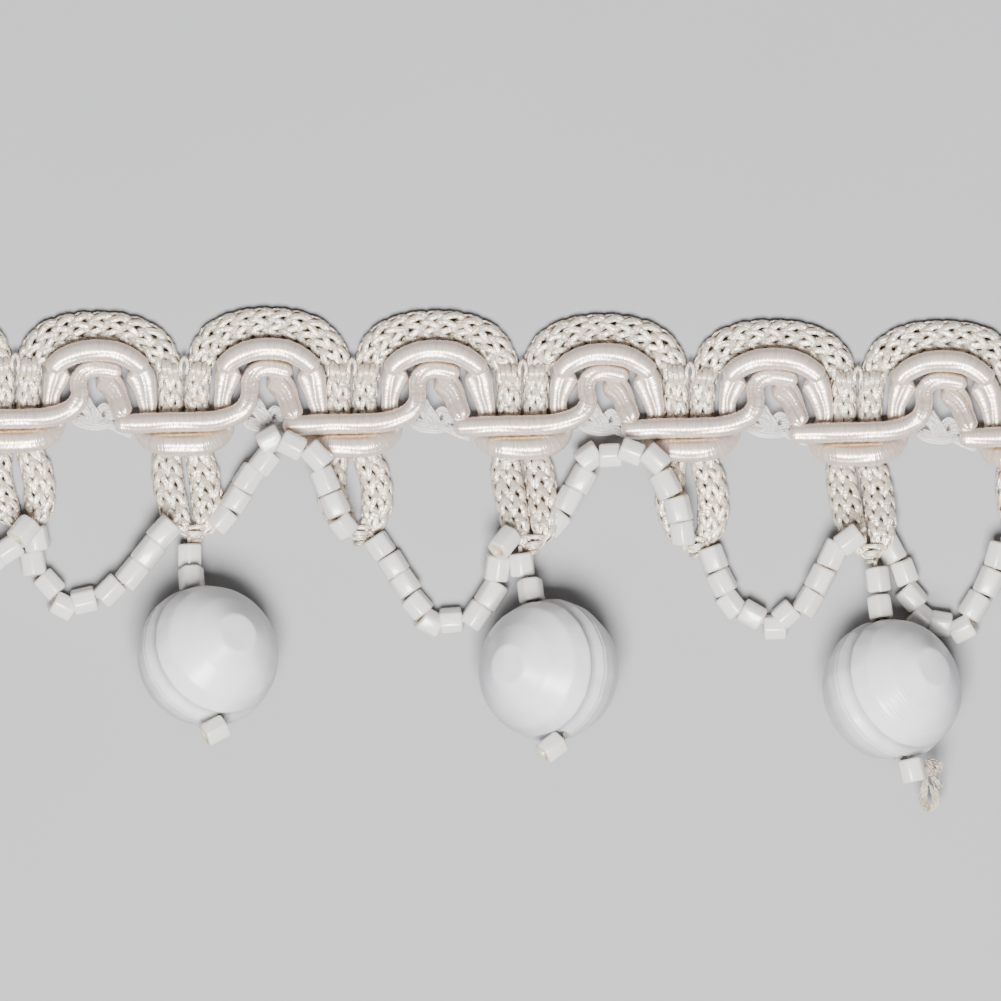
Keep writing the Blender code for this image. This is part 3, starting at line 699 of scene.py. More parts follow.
def direction(heading: float, rise: float) -> np.ndarray:
    """The direction some degrees from x and some degrees up: (cos h cos r, sin h cos r, sin r)."""
    heading, rise = math.radians(heading), math.radians(rise)
    return np.array([math.cos(heading) * math.cos(rise), math.sin(heading) * math.cos(rise), math.sin(rise)])


def distances(points: np.ndarray) -> np.ndarray:
    """Distance along a line of points, at each of them."""
    return np.append(0, np.cumsum(np.linalg.norm(np.diff(points, axis=0), axis=1)))


def resampled(places: np.ndarray, known: np.ndarray, rows: np.ndarray) -> np.ndarray:
    """Rows of numbers that are known at some distances, read at other places.

    Args:
        places: the distances to read at.
        known: the distances of the rows.
        rows: the rows.
    Returns:
        A row for each place, each number on a straight line between its neighbours.
    """
    return np.stack([np.interp(places, known, channel) for channel in rows.T], axis=-1)


def blurred(rows: np.ndarray, before: np.ndarray, after: np.ndarray, window: np.ndarray) -> np.ndarray:
    """Rows evened out: each becomes the mean of those round it, weighed by a window.

    Args:
        rows: the rows.
        before: half a window of rows that lead up to the first.
        after: half a window of rows that follow the last.
        window: the weights, which add up to one.
    Returns:
        As many rows.
    """
    padded = np.vstack([before, rows, after])
    return np.column_stack([np.convolve(channel, window, "valid") for channel in padded.T])


def smoothstep(share: np.ndarray | float) -> np.ndarray | float:
    """From 0 to 1 with level ends: share^2 * (3 - 2 * share)."""
    return share**2 * (3 - 2 * share)


def polygon(angle: np.ndarray, sides: int) -> np.ndarray:
    """How far a polygon lies outside its own round, as a share, so never above 0.

    It is cos(half a sector) / cos(angle from the nearest side's middle) - 1.
    """
    sector = math.tau / sides
    return math.cos(sector / 2) / np.cos(angle % sector - sector / 2) - 1


@dataclass
class Patch:
    """Some faces of a piece: a grid of points, carried by index, with what its finish reads.

    uv holds turns round the strand and millimetres along it for each corner of each quad.
    """

    points: np.ndarray
    quads: np.ndarray
    uv: np.ndarray
    stain_and_shade: np.ndarray
    tone: np.ndarray
    caps: np.ndarray
    finish: int = 0


def grid_patch(
    points: np.ndarray,
    along: np.ndarray,
    stain_and_shade: np.ndarray | float = 0.0,
    tone: np.ndarray | float = 0.0,
    closed: bool = False,
    finish: int = 0,
) -> Patch:
    """Joins rings of points into tubes.

    Args:
        points: tubes by rings by points of a ring by 3. Each ring is closed round.
        along: millimetres along the tube at each ring, for tubes by rings.
        stain_and_shade: a number for each point, which holds stains and painted shade.
        tone: a number for each point, which holds tone and painted shade.
        closed: whether the last ring joins the first, as in a bead with a bore. Other tubes get end faces.
        finish: the place of the patch's material on its piece.
    Returns:
        The patch, its faces turned outwards.
    """
    tubes, rings, sides = points.shape[:3]
    index = np.arange(tubes * rings * sides).reshape(tubes, rings, sides)
    spans = rings if closed else rings - 1
    here = index[:, :spans]
    ahead = np.roll(index, -1, axis=1)[:, :spans]
    quads = np.stack([here, np.roll(here, -1, 2), np.roll(ahead, -1, 2), ahead], axis=-1).reshape(-1, 4)
    turn = np.broadcast_to(np.arange(sides) / sides, here.shape)
    start = np.broadcast_to(along[:, :spans, None], here.shape)
    end = np.roll(along, -1, axis=1)[:, :spans, None] + np.zeros(sides)
    if closed:
        end[:, -1] = start[:, -1] + np.median(np.diff(along, axis=1))
    u = np.stack([turn, turn + 1 / sides, turn + 1 / sides, turn], axis=-1)
    v = np.stack([start, start, end, end], axis=-1)
    uv = np.stack([u, v], axis=-1).reshape(-1, 4, 2)
    caps = np.zeros((0, sides), int) if closed else np.concatenate([index[:, 0, ::-1], index[:, -1]])
    flat = points.reshape(-1, 3)
    # Six times the volume that the quads hold, seen from the patch's middle.
    corners = flat[quads] - flat.mean(axis=0)
    volume = np.einsum("ij,ij->", corners[:, 0], np.cross(corners[:, 1], corners[:, 2]))
    volume += np.einsum("ij,ij->", corners[:, 0], np.cross(corners[:, 2], corners[:, 3]))
    if volume < 0:
        quads, uv, caps = quads[:, ::-1], uv[:, ::-1], caps[:, ::-1]
    stain_and_shade, tone = ((value + np.zeros(points.shape[:3])).reshape(-1) for value in (stain_and_shade, tone))
    return Patch(flat, quads, uv, stain_and_shade, tone, caps, finish)


def placed(name: str, data: bpy.types.ID) -> bpy.types.Object:
    """Puts a new object in the scene.

    Args:
        name: its name.
        data: its mesh, light or camera.
    Returns:
        The object.
    """
    made = bpy.data.objects.new(name, data)
    bpy.context.scene.collection.objects.link(made)
    return made


class Workshop:
    """Makes the pieces: their meshes, finishes and places in the frame."""

    def __init__(self) -> None:
        """Finds the trim's own origin in the row frame from the first ball bead's middle."""
        low, high = (np.array(corner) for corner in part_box("ball_bead_1"))
        middle = (low + high) / 2 / MM
        self.origin = np.array([middle[0] - DROPS[0].ball[0], middle[1] - DROPS[0].ball[1], 0.0])
        self.materials = {
            Slot.KNIT: YarnFinish().material(),
            Slot.SATIN: SatinFinish().material(),
            Slot.CLEAR: ClearFinish().material(),
            Slot.TIE: TieFinish().material(),
            Slot.SMALL: SmallBeadFinish().material(),
            Slot.BALL: BallFinish().material(),
        }

    def mesh(self, name: str, patches: Sequence[Patch]) -> bpy.types.Mesh:
        """One mesh of some patches.

        Args:
            name: the mesh's name.
            patches: the surfaces, in the trim's own place.
        Returns:
            The mesh, smooth, in metres in the row frame, with its UVs, its stain and painted shade, and its
            tone and painted shade.
        """
        starts = np.cumsum([0] + [len(patch.points) for patch in patches])
        points = np.concatenate([patch.points for patch in patches]) + self.origin
        corners, totals, uvs, finishes = [], [], [], []
        for patch, start in zip(patches, starts):
            corners += [(patch.quads + start).reshape(-1), (patch.caps + start).reshape(-1)]
            totals += [np.full(len(patch.quads), 4), np.full(len(patch.caps), patch.caps.shape[1])]
            uvs += [patch.uv.reshape(-1, 2), np.zeros((patch.caps.size, 2))]
            finishes.append(np.full(len(patch.quads) + len(patch.caps), patch.finish))
        corners, totals = np.concatenate(corners), np.concatenate(totals)
        mesh = bpy.data.meshes.new(name)
        mesh.vertices.add(len(points))
        mesh.vertices.foreach_set("co", (points * MM).astype(np.float32).reshape(-1))
        mesh.loops.add(len(corners))
        mesh.loops.foreach_set("vertex_index", corners.astype(np.int32))
        mesh.polygons.add(len(totals))
        mesh.polygons.foreach_set("loop_start", (np.cumsum(totals) - totals).astype(np.int32))
        mesh.polygons.foreach_set("material_index", np.concatenate(finishes).astype(np.int32))
        mesh.update(calc_edges=True)
        layer = mesh.uv_layers.new(name="UVMap")
        layer.data.foreach_set("uv", np.concatenate(uvs).astype(np.float32).reshape(-1))
        for key in ("stain_and_shade", "tone"):
            values = np.concatenate([getattr(patch, key) for patch in patches])
            mesh.attributes.new(key, "FLOAT", "POINT").data.foreach_set("value", values.astype(np.float32))
        mesh.shade_smooth()
        mesh.validate()
        return mesh

    def piece(self, name: str, patches: Sequence[Patch], slots: Sequence[Slot], nodes: Sequence[str]) -> None:
        """Makes one piece of some patches.

        Args:
            name: the piece's name.
            patches: its surfaces, in the trim's own place.
            slots: its materials, in the order that the patches count them. The first is its own.
            nodes: the solids that it stands for.
        """
        mesh = self.mesh(name, patches)
        for slot in slots:
            mesh.materials.append(self.materials[slot])
        piece = placed(name, mesh)
        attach(piece, "root")
        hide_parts(*nodes)
        LOG.info("%s: %d points", name, len(mesh.vertices))


# Routes


def spline(rows: np.ndarray, fineness: int = 24) -> np.ndarray:
    """A curve through rows of numbers whose first three are a place.

    Each span is a cubic between its two rows. A row's slope is the mean of its neighbouring steps, each
    weighed by the other one's span, and a span is the square root of its length.

    Args:
        rows: the rows.
        fineness: samples in each span.
    Returns:
        The sampled rows.
    """
    rows = np.asarray(rows, float)
    rows = np.vstack([2 * rows[0] - rows[1], rows, 2 * rows[-1] - rows[-2]])
    steps = np.diff(rows, axis=0)
    spans = np.sqrt(np.linalg.norm(steps[:, :3], axis=1))[:, None]
    slopes = steps / spans
    inner = (slopes[:-1] * spans[1:] + slopes[1:] * spans[:-1]) / (spans[:-1] + spans[1:])
    t = np.linspace(0, 1, fineness, endpoint=False)[None, :, None]
    start, end = rows[1:-2, None], rows[2:-1, None]
    leave, arrive = (inner[:-1] * spans[1:-1])[:, None], (inner[1:] * spans[1:-1])[:, None]
    curve = (2 * t**3 - 3 * t**2 + 1) * start + (t**3 - 2 * t**2 + t) * leave
    curve = curve + (3 * t**2 - 2 * t**3) * end + (t**3 - t**2) * arrive
    return np.vstack([curve.reshape(-1, rows.shape[1]), rows[-2]])


@dataclass
class Route:
    """A cord's centre line with the width, thickness and ply of its section, sampled evenly."""

    rows: np.ndarray
    step: float = 0.1
    soften: float = 0.0
    curve: np.ndarray = field(init=False)
    length: float = field(init=False)

    def __post_init__(self) -> None:
        """Samples the curve, and evens out its bends over the softening stretch."""
        fine = spline(self.rows)
        distance = distances(fine[:, :3])
        self.length = distance[-1]
        even = resampled(self.places(self.step), distance, fine)
        half = round(self.soften / self.step / 2)
        if half:
            window = np.hanning(2 * half + 3)[1:-1]
            before, after = 2 * even[0] - even[half:0:-1], 2 * even[-1] - even[-2 : -half - 2 : -1]
            even = blurred(even, before, after, window / window.sum())
        self.curve = even

    def places(self, step: float, fewest: int = 1) -> np.ndarray:
        """Even distances from end to end, about a step apart and in no fewer than so many steps."""
        return np.linspace(0, self.length, max(fewest, round(self.length / step)) + 1)

    def at(self, places: np.ndarray) -> np.ndarray:
        """The rows at some distances along the route."""
        return resampled(places, np.linspace(0, self.length, len(self.curve)), self.curve)

    def frames(self, places: np.ndarray) -> tuple[np.ndarray, np.ndarray, np.ndarray]:
        """Rows and directions at some distances along the route.

        Args:
            places: the distances.
        Returns:
            The rows, then for each the level direction across the route, then the one square to both.
        """
        reach = 1.5 * self.step
        tangent = unit(self.at(places + reach)[..., :3] - self.at(places - reach)[..., :3] + TINY)
        side = sideways(tangent)
        return self.at(places), side, np.cross(side, tangent)


def scallop_place(index: int) -> tuple[float, float]:
    """Middle of a scallop."""
    row = SCALLOPS[index]
    return (index - len(SCALLOPS) // 2) * PITCH + row.nudge, row.rise


def junction_place(index: int) -> tuple[float, float]:
    """Middle of a junction.

    Args:
        index: of the junction, and of the scallop to its right.
    Returns:
        Its place along and across.
    """
    neighbours = SCALLOPS[max(index - 1, 0) : index + 1]
    rise = sum(row.rise for row in neighbours) / len(neighbours)
    return (index - len(SCALLOPS) // 2) * PITCH - HALF_PITCH + JUNCTIONS[index].nudge, rise


def in_scallop(knots: Sequence[Knot], index: int) -> list[Knot]:
    """Knots of the repeat, put on one scallop.

    Args:
        knots: from the scallop's middle.
        index: the scallop.
    Returns:
        The knots, those above the middle raised to the scallop's crown.
    """
    x, y = scallop_place(index)
    crown = SCALLOPS[index].crown
    return [
        knot._replace(along=x + knot.along, across=y + knot.across * (crown if knot.across > 0 else 1))
        for knot in knots
    ]


def in_junction(knots: Sequence[Knot], index: int) -> list[Knot]:
    """Knots of the repeat, put on one junction."""
    x, y = junction_place(index)
    return [knot._replace(along=x + knot.along, across=y + knot.across) for knot in knots]


def leg_knots(index: int, side: int) -> list[Knot]:
    """One leg of a junction from the neck to the tip.

    Below the lowest bar the leg is stretched to its tip. It leans and rises towards the tip, and bends
    out and back for the slit between the two legs.

    Args:
        index: the junction.
        side: -1 for the left leg and 1 for the right.
    Returns:
        The knots.
    """
    x, y = junction_place(index)
    row = JUNCTIONS[index]
    drop = (row.tip - y - LOWEST_BAR) / (NOMINAL_TIP - LOWEST_BAR)
    knots = []
    for knot in KNIT_LEG:
        hang = max(0.0, (LOWEST_BAR - knot.across) / (LOWEST_BAR - NOMINAL_TIP))
        slit = row.slit * math.sin(math.pi * min(1.0, SLIT_SPREAD * hang))
        below = min(0.0, knot.across - LOWEST_BAR)
        place = {
            "along": x + side * (knot.along + slit) + row.lean * hang,
            "across": y + knot.across - below + below * drop,
            "up": row.lift * smoothstep(hang),
        }
        knots.append(knot._replace(**place))
    return knots


def tube(
    centres: np.ndarray,
    facing: np.ndarray,
    half_width: np.ndarray | float,
    half_height: np.ndarray | float,
    sides: int,
) -> np.ndarray:
    """Oval rings carried along a line: centre + width * cos(angle) * side + height * sin(angle) * up.

    Args:
        centres: the line's points.
        facing: roughly where each ring's upper side faces.
        half_width: half of each ring's width.
        half_height: half of each ring's height.
        sides: points on a ring.
    Returns:
        Rings by points by 3.
    """
    tangent = unit(np.gradient(centres, axis=0) + TINY)
    side = sideways(tangent, facing)
    up = np.cross(side, tangent)
    angle = np.arange(sides) * math.tau / sides
    wide = np.reshape(half_width, (-1, 1)) * np.cos(angle)
    high = np.reshape(half_height, (-1, 1)) * np.sin(angle)
    return centres[:, None] + wide[..., None] * side[:, None] + high[..., None] * up[:, None]


def strand_patch(
    knots: Sequence[Sequence[float]],
    half_width: float,
    half_height: float,
    sides: int = 8,
    finish: int = 0,
    stain_and_shade: float = 0.0,
    taper: float = 0.35,
) -> Patch:
    """A short thread through a few points, with tapering ends.

    Args:
        knots: the points.
        half_width: half of the thread's width.
        half_height: half of its height.
        sides: points on a ring.
        finish: the place of its material on its piece.
        stain_and_shade: its stain.
        taper: share of the size that is left at each end.
    Returns:
        The patch.
    """
    route = Route(np.array(knots, float), THREAD_STEP)
    places = route.places(THREAD_STEP, fewest=4)
    edge = np.minimum(places, route.length - places) / min(TAPER_LENGTH, route.length / 3)
    size = taper + (1 - taper) * np.sin(np.clip(edge, 0, 1) * math.pi / 2)
    rings = tube(route.at(places), UP, half_width * size, half_height * size, sides)
    return grid_patch(rings[None], places[None], stain_and_shade, finish=finish)


# Sub-assemblies


def oval(angle: np.ndarray) -> tuple[np.ndarray, np.ndarray]:
    """A rounded flat oval from -1 to 1: x = |cos|^0.8 and z = |sin|^0.75, with their signs."""
    x, z = np.cos(angle), np.sin(angle)
    return np.sign(x) * np.abs(x) ** 0.8, np.sign(z) * np.abs(z) ** 0.75


@dataclass
class KnittedCord:
    """The knitted cord: one yarn in rows of loops round a flattened tube.

    Going once round is one course. For each loop the yarn's place is: across, its even share of the
    round plus a swing with twice the loop's angle; along, minus a rise with the cosine of the angle; and
    outwards, minus a depth with the cosine of twice the angle.
    """

    wales: int = 5
    course: float = 1.45
    samples: int = 16  # in a loop
    swing: float = 0.27  # share of a wale
    rise: float = 0.95
    depth: float = 0.16
    half_width: float = 0.3
    half_height: float = 0.125
    sides: int = 6
    lead: float = 0.25  # turns between the cord's edge and the first wale
    section: tuple[float, float] = (1.1, 0.45)  # half of the tube's width and thickness
    full_width: float = 1.2  # half of the width at which the yarn has its full size
    slimmest: float = 0.45  # share of that size which is left where the cord is narrow
    least_reach: tuple[float, float] = (0.12, 0.08)  # across and up, of the yarn from the tube's middle
    # painted shade where the yarn lies deep inside the cord
    deep_shade: float = 0.7
    foot_shade: tuple[float, float] = (0.6, 0.45)  # painted shade on yarn that faces down: its strength, and the slope that it ends at
    uneven_rise: float = 0.07
    uneven_place: float = 0.6  # share of the uneven rise
    uneven_wale: float = 0.05
    uneven_depth: float = 0.02

    def route(self) -> Route:
        """The cord from its first cut end to its last."""
        knots = leg_knots(0, 1)[:HANGING][::-1]
        last = len(SCALLOPS)
        for index in range(last):
            knots += in_scallop(KNIT_ARCH, index)
            left = leg_knots(index + 1, -1)
            knots += left[:HANGING] if index == last - 1 else left + leg_knots(index + 1, 1)[-2::-1]
        return Route(np.array([knot[:5] for knot in knots]))

    def outline(self, turns: np.ndarray) -> tuple[np.ndarray, np.ndarray]:
        """Places on the tube's oval section.

        Args:
            turns: shares of the oval's length, from its right side.
        Returns:
            The places from -1 to 1, across and up.
        """
        angle = np.linspace(0, math.tau, 513)
        length = distances(np.column_stack(oval(angle)) * self.section)
        return oval(np.interp(turns % 1.0, length / length[-1], angle))

    def yarn(self, route: Route, first: float, last: float, seed: int) -> Patch:
        """The yarn between two distances along the cord.

        Args:
            route: the cord.
            first: the distance at which the yarn starts.
            last: the distance at which it ends.
            seed: of its unevenness.
        Returns:
            The patch, with painted shade where the yarn lies deep or faces down.
        """
        loops = (last - first) / self.course * self.wales
        turns = np.linspace(first, last, round(loops * self.samples)) / self.course
        angle = math.tau * self.wales * turns
        rng = np.random.default_rng(seed)
        marks = np.arange(math.floor(loops) + 3)
        place = (turns - turns[0]) * self.wales

        def uneven(amount: float) -> np.ndarray:
            """Numbers that wander from loop to loop."""
            return np.interp(place, marks, rng.normal(0, amount, len(marks)))

        along = turns * self.course - self.rise * np.cos(angle) * (1 + uneven(self.uneven_rise))
        along += uneven(self.uneven_rise) * self.uneven_place
        around = turns + (self.swing * np.sin(2 * angle) + uneven(self.uneven_wale)) / self.wales + self.lead
        rows, side, up = route.frames(np.clip(along, 0, route.length))
        x, z = self.outline(around)
        width, thick = rows[:, 3] / 2, rows[:, 4] / 2
        snug = np.clip(width / self.full_width, self.slimmest, 1.0)
        inset = (self.half_height + self.depth) * snug
        out = self.depth * snug * (-np.cos(2 * angle)) + uneven(self.uneven_depth)
        reach_x = np.maximum(width - inset, self.least_reach[0]) + out
        reach_z = np.maximum(thick - inset, self.least_reach[1]) + out
        middle = rows[:, :3] + thick[:, None] * up
        centres = middle + (x * reach_x)[:, None] * side + (z * reach_z)[:, None] * up
        facing = unit((x / reach_x)[:, None] * side + (z / reach_z)[:, None] * up)
        rings = tube(centres, facing, self.half_width * snug, self.half_height * snug, self.sides)
        # painted shade: darker where the yarn lies deep and where it faces down
        strength, slope = self.foot_shade
        stain_and_shade = np.clip(-out / self.depth, 0, 1) * self.deep_shade
        stain_and_shade = stain_and_shade + strength * np.clip(slope - facing[:, 2], 0, 1)
        return grid_patch(rings[None], distances(centres)[None], stain_and_shade[None, :, None])

    def build(self, shop: Workshop) -> None:
        """One piece for each repeat, from tip to tip.

        Args:
            shop: what makes the pieces.
        """
        route = self.route()
        tips = [0.0]
        for index in range(1, len(SCALLOPS)):
            x, _ = junction_place(index)
            row = JUNCTIONS[index]
            gap = np.linalg.norm(route.curve[:, :2] - (x + row.lean, row.tip), axis=1)
            tips.append(float(np.argmin(gap)) / (len(route.curve) - 1) * route.length)
        tips.append(route.length)
        for index, (first, last) in enumerate(zip(tips, tips[1:]), start=1):
            patch = self.yarn(route, first, last, index)
            shop.piece(f"knitted_loop_{index}", [patch], [Slot.KNIT], ["knit_cord"])


class Wave(NamedTuple):
    """A slow change along a cord: its size, and radians in a millimetre."""

    size: float
    rate: float

    def at(self, places: np.ndarray, phase: np.ndarray | float) -> np.ndarray:
        """Size times the sine of the place, shifted by a phase."""
        return self.size * np.sin(places * self.rate + phase)


class PaintedShadowLine(NamedTuple):
    """Painted shadow: tan along the side of a cord where another lies against it.

    It starts at a level across the trim and is full a reach further. It shows where the surface faces
    across the trim: slope * that part of its normal, less a threshold.
    """

    level: float
    reach: float
    strength: float
    slope: float
    threshold: float


@dataclass
class SatinCord:
    """A satin-wrapped cord in stretches. Each section is an oval, parted into strands where it is slack.

    Radius is 1 + ply * depth * (|sin(lobes * angle + sway)|^0.8 - 0.6), less a faint groove where two plies
    meet, which fades as ply grows, and plus a ripple with the sine of the place along the cord.
    """

    name: str
    node: str
    stretches: list[list[Knot]]
    lobes: float = 2.0
    lobe_depth: float = 0.42
    twist: float = 0.0  # radians in a millimetre
    sway: Wave = Wave(0.2, 1.3)
    groove: float = 0.06
    groove_angle: float = math.radians(64)
    groove_width: float = 0.17
    groove_drift: Wave = Wave(0.12, 1.1)
    # painted shade in the groove between two plies
    groove_shade: float = 0.15
    ripple: Wave = Wave(0.014, 9.0)
    ripple_shift: Wave = Wave(2.0, 2.3)
    # painted shade in the valleys between strands, where the plies show
    slack_shade: float = 0.35
    # painted shade low between two cords
    crevice_top: float = 2.45
    crevice_depth: float = 0.9
    crevice_shade: float = 0.3
    line: PaintedShadowLine | None = None
    shade: float = 0.75  # of the parts that face away from the light
    top_shade: float = 0.25  # of the parts that face the scallops' tops
    sides: int = 48
    step: float = 0.13
    soften: float = 0.9
    rounding: float = 0.6  # length of an end's round

    def build(self, shop: Workshop) -> None:
        """One piece of all the stretches."""
        patches = [self.tube(knots, number) for number, knots in enumerate(self.stretches)]
        shop.piece(self.name, patches, [Slot.SATIN], [self.node])

    def tube(self, knots: list[Knot], number: int) -> Patch:
        """One stretch, with rounded ends.

        Args:
            knots: its route.
            number: its place in the cord, which shifts its sway and its groove.
        Returns:
            The patch, with painted shade in its creases and where it faces away from the light.
        """
        route = Route(np.array(knots), soften=self.soften)
        places = route.places(self.step)
        rows, side, up = route.frames(places)
        angle = np.arange(self.sides) * math.tau / self.sides
        sway = self.sway.at(places, number) + self.twist * places
        lobed = np.abs(np.sin(self.lobes * angle[None] + sway[:, None])) ** 0.8 - 0.6
        ply = np.clip(rows[:, 5:6], 0, 1)
        drift = self.groove_drift.at(places, number)[:, None]
        gap = np.exp(-(((angle[None] - self.groove_angle - drift) / self.groove_width) ** 2))
        radius = 1 + self.lobe_depth * ply * lobed - self.groove * (1 - ply) * gap
        radius = radius + self.ripple.at(places, self.ripple_shift.at(places, 0.0))[:, None]
        end = np.minimum(places, route.length - places) / self.rounding
        close = np.sqrt(1 - (1 - np.clip(end, 0.02, 1)) ** 2)[:, None]
        x = close * radius * np.cos(angle) * rows[:, 3:4] / 2
        z = close * radius * np.sin(angle) * rows[:, 4:5] / 2
        across, high = x[..., None] * side[:, None], z[..., None] * up[:, None]
        points, out = rows[:, None, :3] + across + high, unit(across + high)
        # painted shade in creases, in the plies' groove and valleys, and along a painted shadow line
        stain_and_shade = self.crevice(points, out) + self.groove_shade * gap * (1 - ply)
        stain_and_shade = stain_and_shade + self.slack_shade * ply * np.clip(0.3 - lobed, 0, 1)
        # painted shade on the sides that face away from the light and on those that face the scallops' tops
        painted_shade = self.shade * np.clip(0.8 - out[..., 2], 0, 1) + self.top_shade * np.clip(out[..., 1], 0, 1)
        return grid_patch(points[None], places[None], stain_and_shade[None], painted_shade[None])

    def crevice(self, points: np.ndarray, normals: np.ndarray) -> np.ndarray:
        """How much painted shade each point gets: most low between two cords, on their sides, and along a
        painted shadow line.

        Args:
            points: the cord's points.
            normals: the way that each faces.
        Returns:
            The painted shade of each.
        """
        low = np.clip((self.crevice_top - points[..., 2]) / self.crevice_depth, 0, 1)
        stain_and_shade = self.crevice_shade * low * np.clip(1 - normals[..., 2], 0, 1)
        if self.line:
            past = np.clip((points[..., 1] - self.line.level) / self.line.reach, 0, 1)
            facing = np.clip(normals[..., 1] * self.line.slope - self.line.threshold, 0, 1)
            stain_and_shade = stain_and_shade + self.line.strength * past * facing
        return stain_and_shade


OUTER_LINE = PaintedShadowLine(-2.9, -0.5, 1.1, 2.2, 1.2)  # painted shadow along the lower bar, under the upper one
INNER_LINE = PaintedShadowLine(1.6, 0.6, 1.5, 3.0, 2.0)  # painted shadow along the inner arch, under the outer one


@dataclass
class Heading:
    """The heading's bindings, chains and ties."""

    strokes: int = 3
    stroke_gap: float = 0.46
    stroke_size: tuple[float, float] = (0.24, 0.15)  # half of its width and height
    stroke_lean: float = 0.12
    stroke_uneven: tuple[float, float, float] = (0.07, 0.08, 0.1)  # of its lean, its foot and its head
    leg: float = 1.22  # from a junction's middle to the middle of a leg
    foot: float = 1.5
    head: float = 3.05
    loop_size: tuple[float, float] = (0.17, 0.14)
    filament_size: tuple[float, float] = (0.13, 0.06)
    filament_uneven: tuple[float, float] = (0.07, 0.05)  # across, as a share of the strand, and up
    chain_points: int = 7
    tie_turns: float = 3.6
    tie_samples: int = 220
    tie_marks: int = 14  # of its unevenness
    tie_uneven: float = 0.06
    tie_wobble: float = 0.12
    tie_stain: float = 0.5  # at its end
    tie_size: tuple[float, float] = (0.19, 0.1)
    tie_start: float = 1.0  # above the tip
    tie_length: float = 1.35
    tie_lift: float = 0.6
    tie_width: tuple[float, float] = (1.05, 0.6)  # half of it at the start, and how much of that is lost
    tie_height: tuple[float, float] = (0.58, 0.16)

    def neck_binding(self, shop: Workshop, index: int) -> None:
        """Short strokes over each leg at a neck, and a small loop between them.

        Args:
            shop: what makes the piece.
            index: the junction.
        """
        x, y = junction_place(index)
        lean_off, foot_off, head_off = self.stroke_uneven
        patches = []
        rng = np.random.default_rng(Seed.NECK + index)
        for side in (-1, 1):
            for stroke in range(self.strokes):
                place = x + side * self.leg + (stroke - self.strokes // 2) * self.stroke_gap
                lean = side * self.stroke_lean + rng.normal(0, lean_off)
                low = y + self.foot + rng.normal(0, foot_off)
                high = y + self.head + rng.normal(0, head_off)
                knots = (
                    (place - lean, low, 1.15),
                    (place - lean / 2, low + 0.3, 1.62),
                    (place, (low + high) / 2, 1.88),
                    (place + lean / 2, high - 0.3, 1.7),
                    (place + lean, high, 1.2),
                )
                patches.append(strand_patch(knots, *self.stroke_size))
        patches.append(strand_patch(NECK_LOOP + (x, y, 0.0), *self.loop_size))
        shop.piece(f"neck_strokes_{index}", patches, [Slot.KNIT], [f"neck_binding_{index}"])

    def clear_chain(self, shop: Workshop, index: int) -> None:
        """The transparent chain at one scallop's foot: each strand is a few filaments side by side.

        Args:
            shop: what makes the piece.
            index: the scallop.
        """
        x, y = scallop_place(index)
        across_off, up_off = self.filament_uneven
        rng = np.random.default_rng(Seed.CHAIN + index)
        patches = []
        for half_width, count, points in CLEAR_STRANDS:
            route = Route(np.array(points) + (x, y, 0.0))
            rows, side, up = route.frames(np.linspace(0, route.length, self.chain_points))
            for offset in np.linspace(-1, 1, count):
                across = half_width * (offset + rng.normal(0, across_off, self.chain_points))[:, None] * side
                lift = rng.normal(0, up_off, self.chain_points)[:, None] * up
                patches.append(strand_patch(rows + across + lift, *self.filament_size, sides=6))
        shop.piece(f"clear_strands_{index + 1}", patches, [Slot.CLEAR], [f"clear_chain_{index + 1}"])

    def tip_tie(self, shop: Workshop, index: int) -> None:
        """Thread wound round the gathered tip, wide at the legs and narrow at the foot.

        Args:
            shop: what makes the piece.
            index: the junction.
        """
        x, _ = junction_place(index)
        row = JUNCTIONS[index]
        angle = np.linspace(0, self.tie_turns * math.tau, self.tie_samples)
        share = angle / angle[-1]
        marks = np.random.default_rng(Seed.TIE + index).normal(0, self.tie_uneven, self.tie_marks)
        drift = np.interp(share, np.linspace(0, 1, self.tie_marks), marks)
        wide = self.tie_width[0] - self.tie_width[1] * share**0.8 + drift
        high = self.tie_height[0] - self.tie_height[1] * share
        across = x + row.lean + wide * np.cos(angle)
        wobble = self.tie_wobble * np.sin(angle / 2)
        down = row.tip + self.tie_start - self.tie_length * share + drift + wobble
        up = row.lift + self.tie_lift + high * np.sin(angle)
        centres = np.stack([across, down, up], axis=-1)
        facing = np.stack([np.cos(angle), 0 * angle, np.sin(angle)], axis=-1)
        rings = tube(centres, facing, *self.tie_size, 8)
        patch = grid_patch(rings[None], distances(centres)[None], self.tie_stain * share[None, :, None])
        shop.piece(f"tip_tie_{index}", [patch], [Slot.KNIT], [f"tip_binding_{index}"])

    def build(self, shop: Workshop) -> None:
        """Every binding, chain and tie."""
        for index in range(1, len(SCALLOPS)):
            self.neck_binding(shop, index)
            self.tip_tie(shop, index)
        for index in range(len(SCALLOPS)):
            self.clear_chain(shop, index)


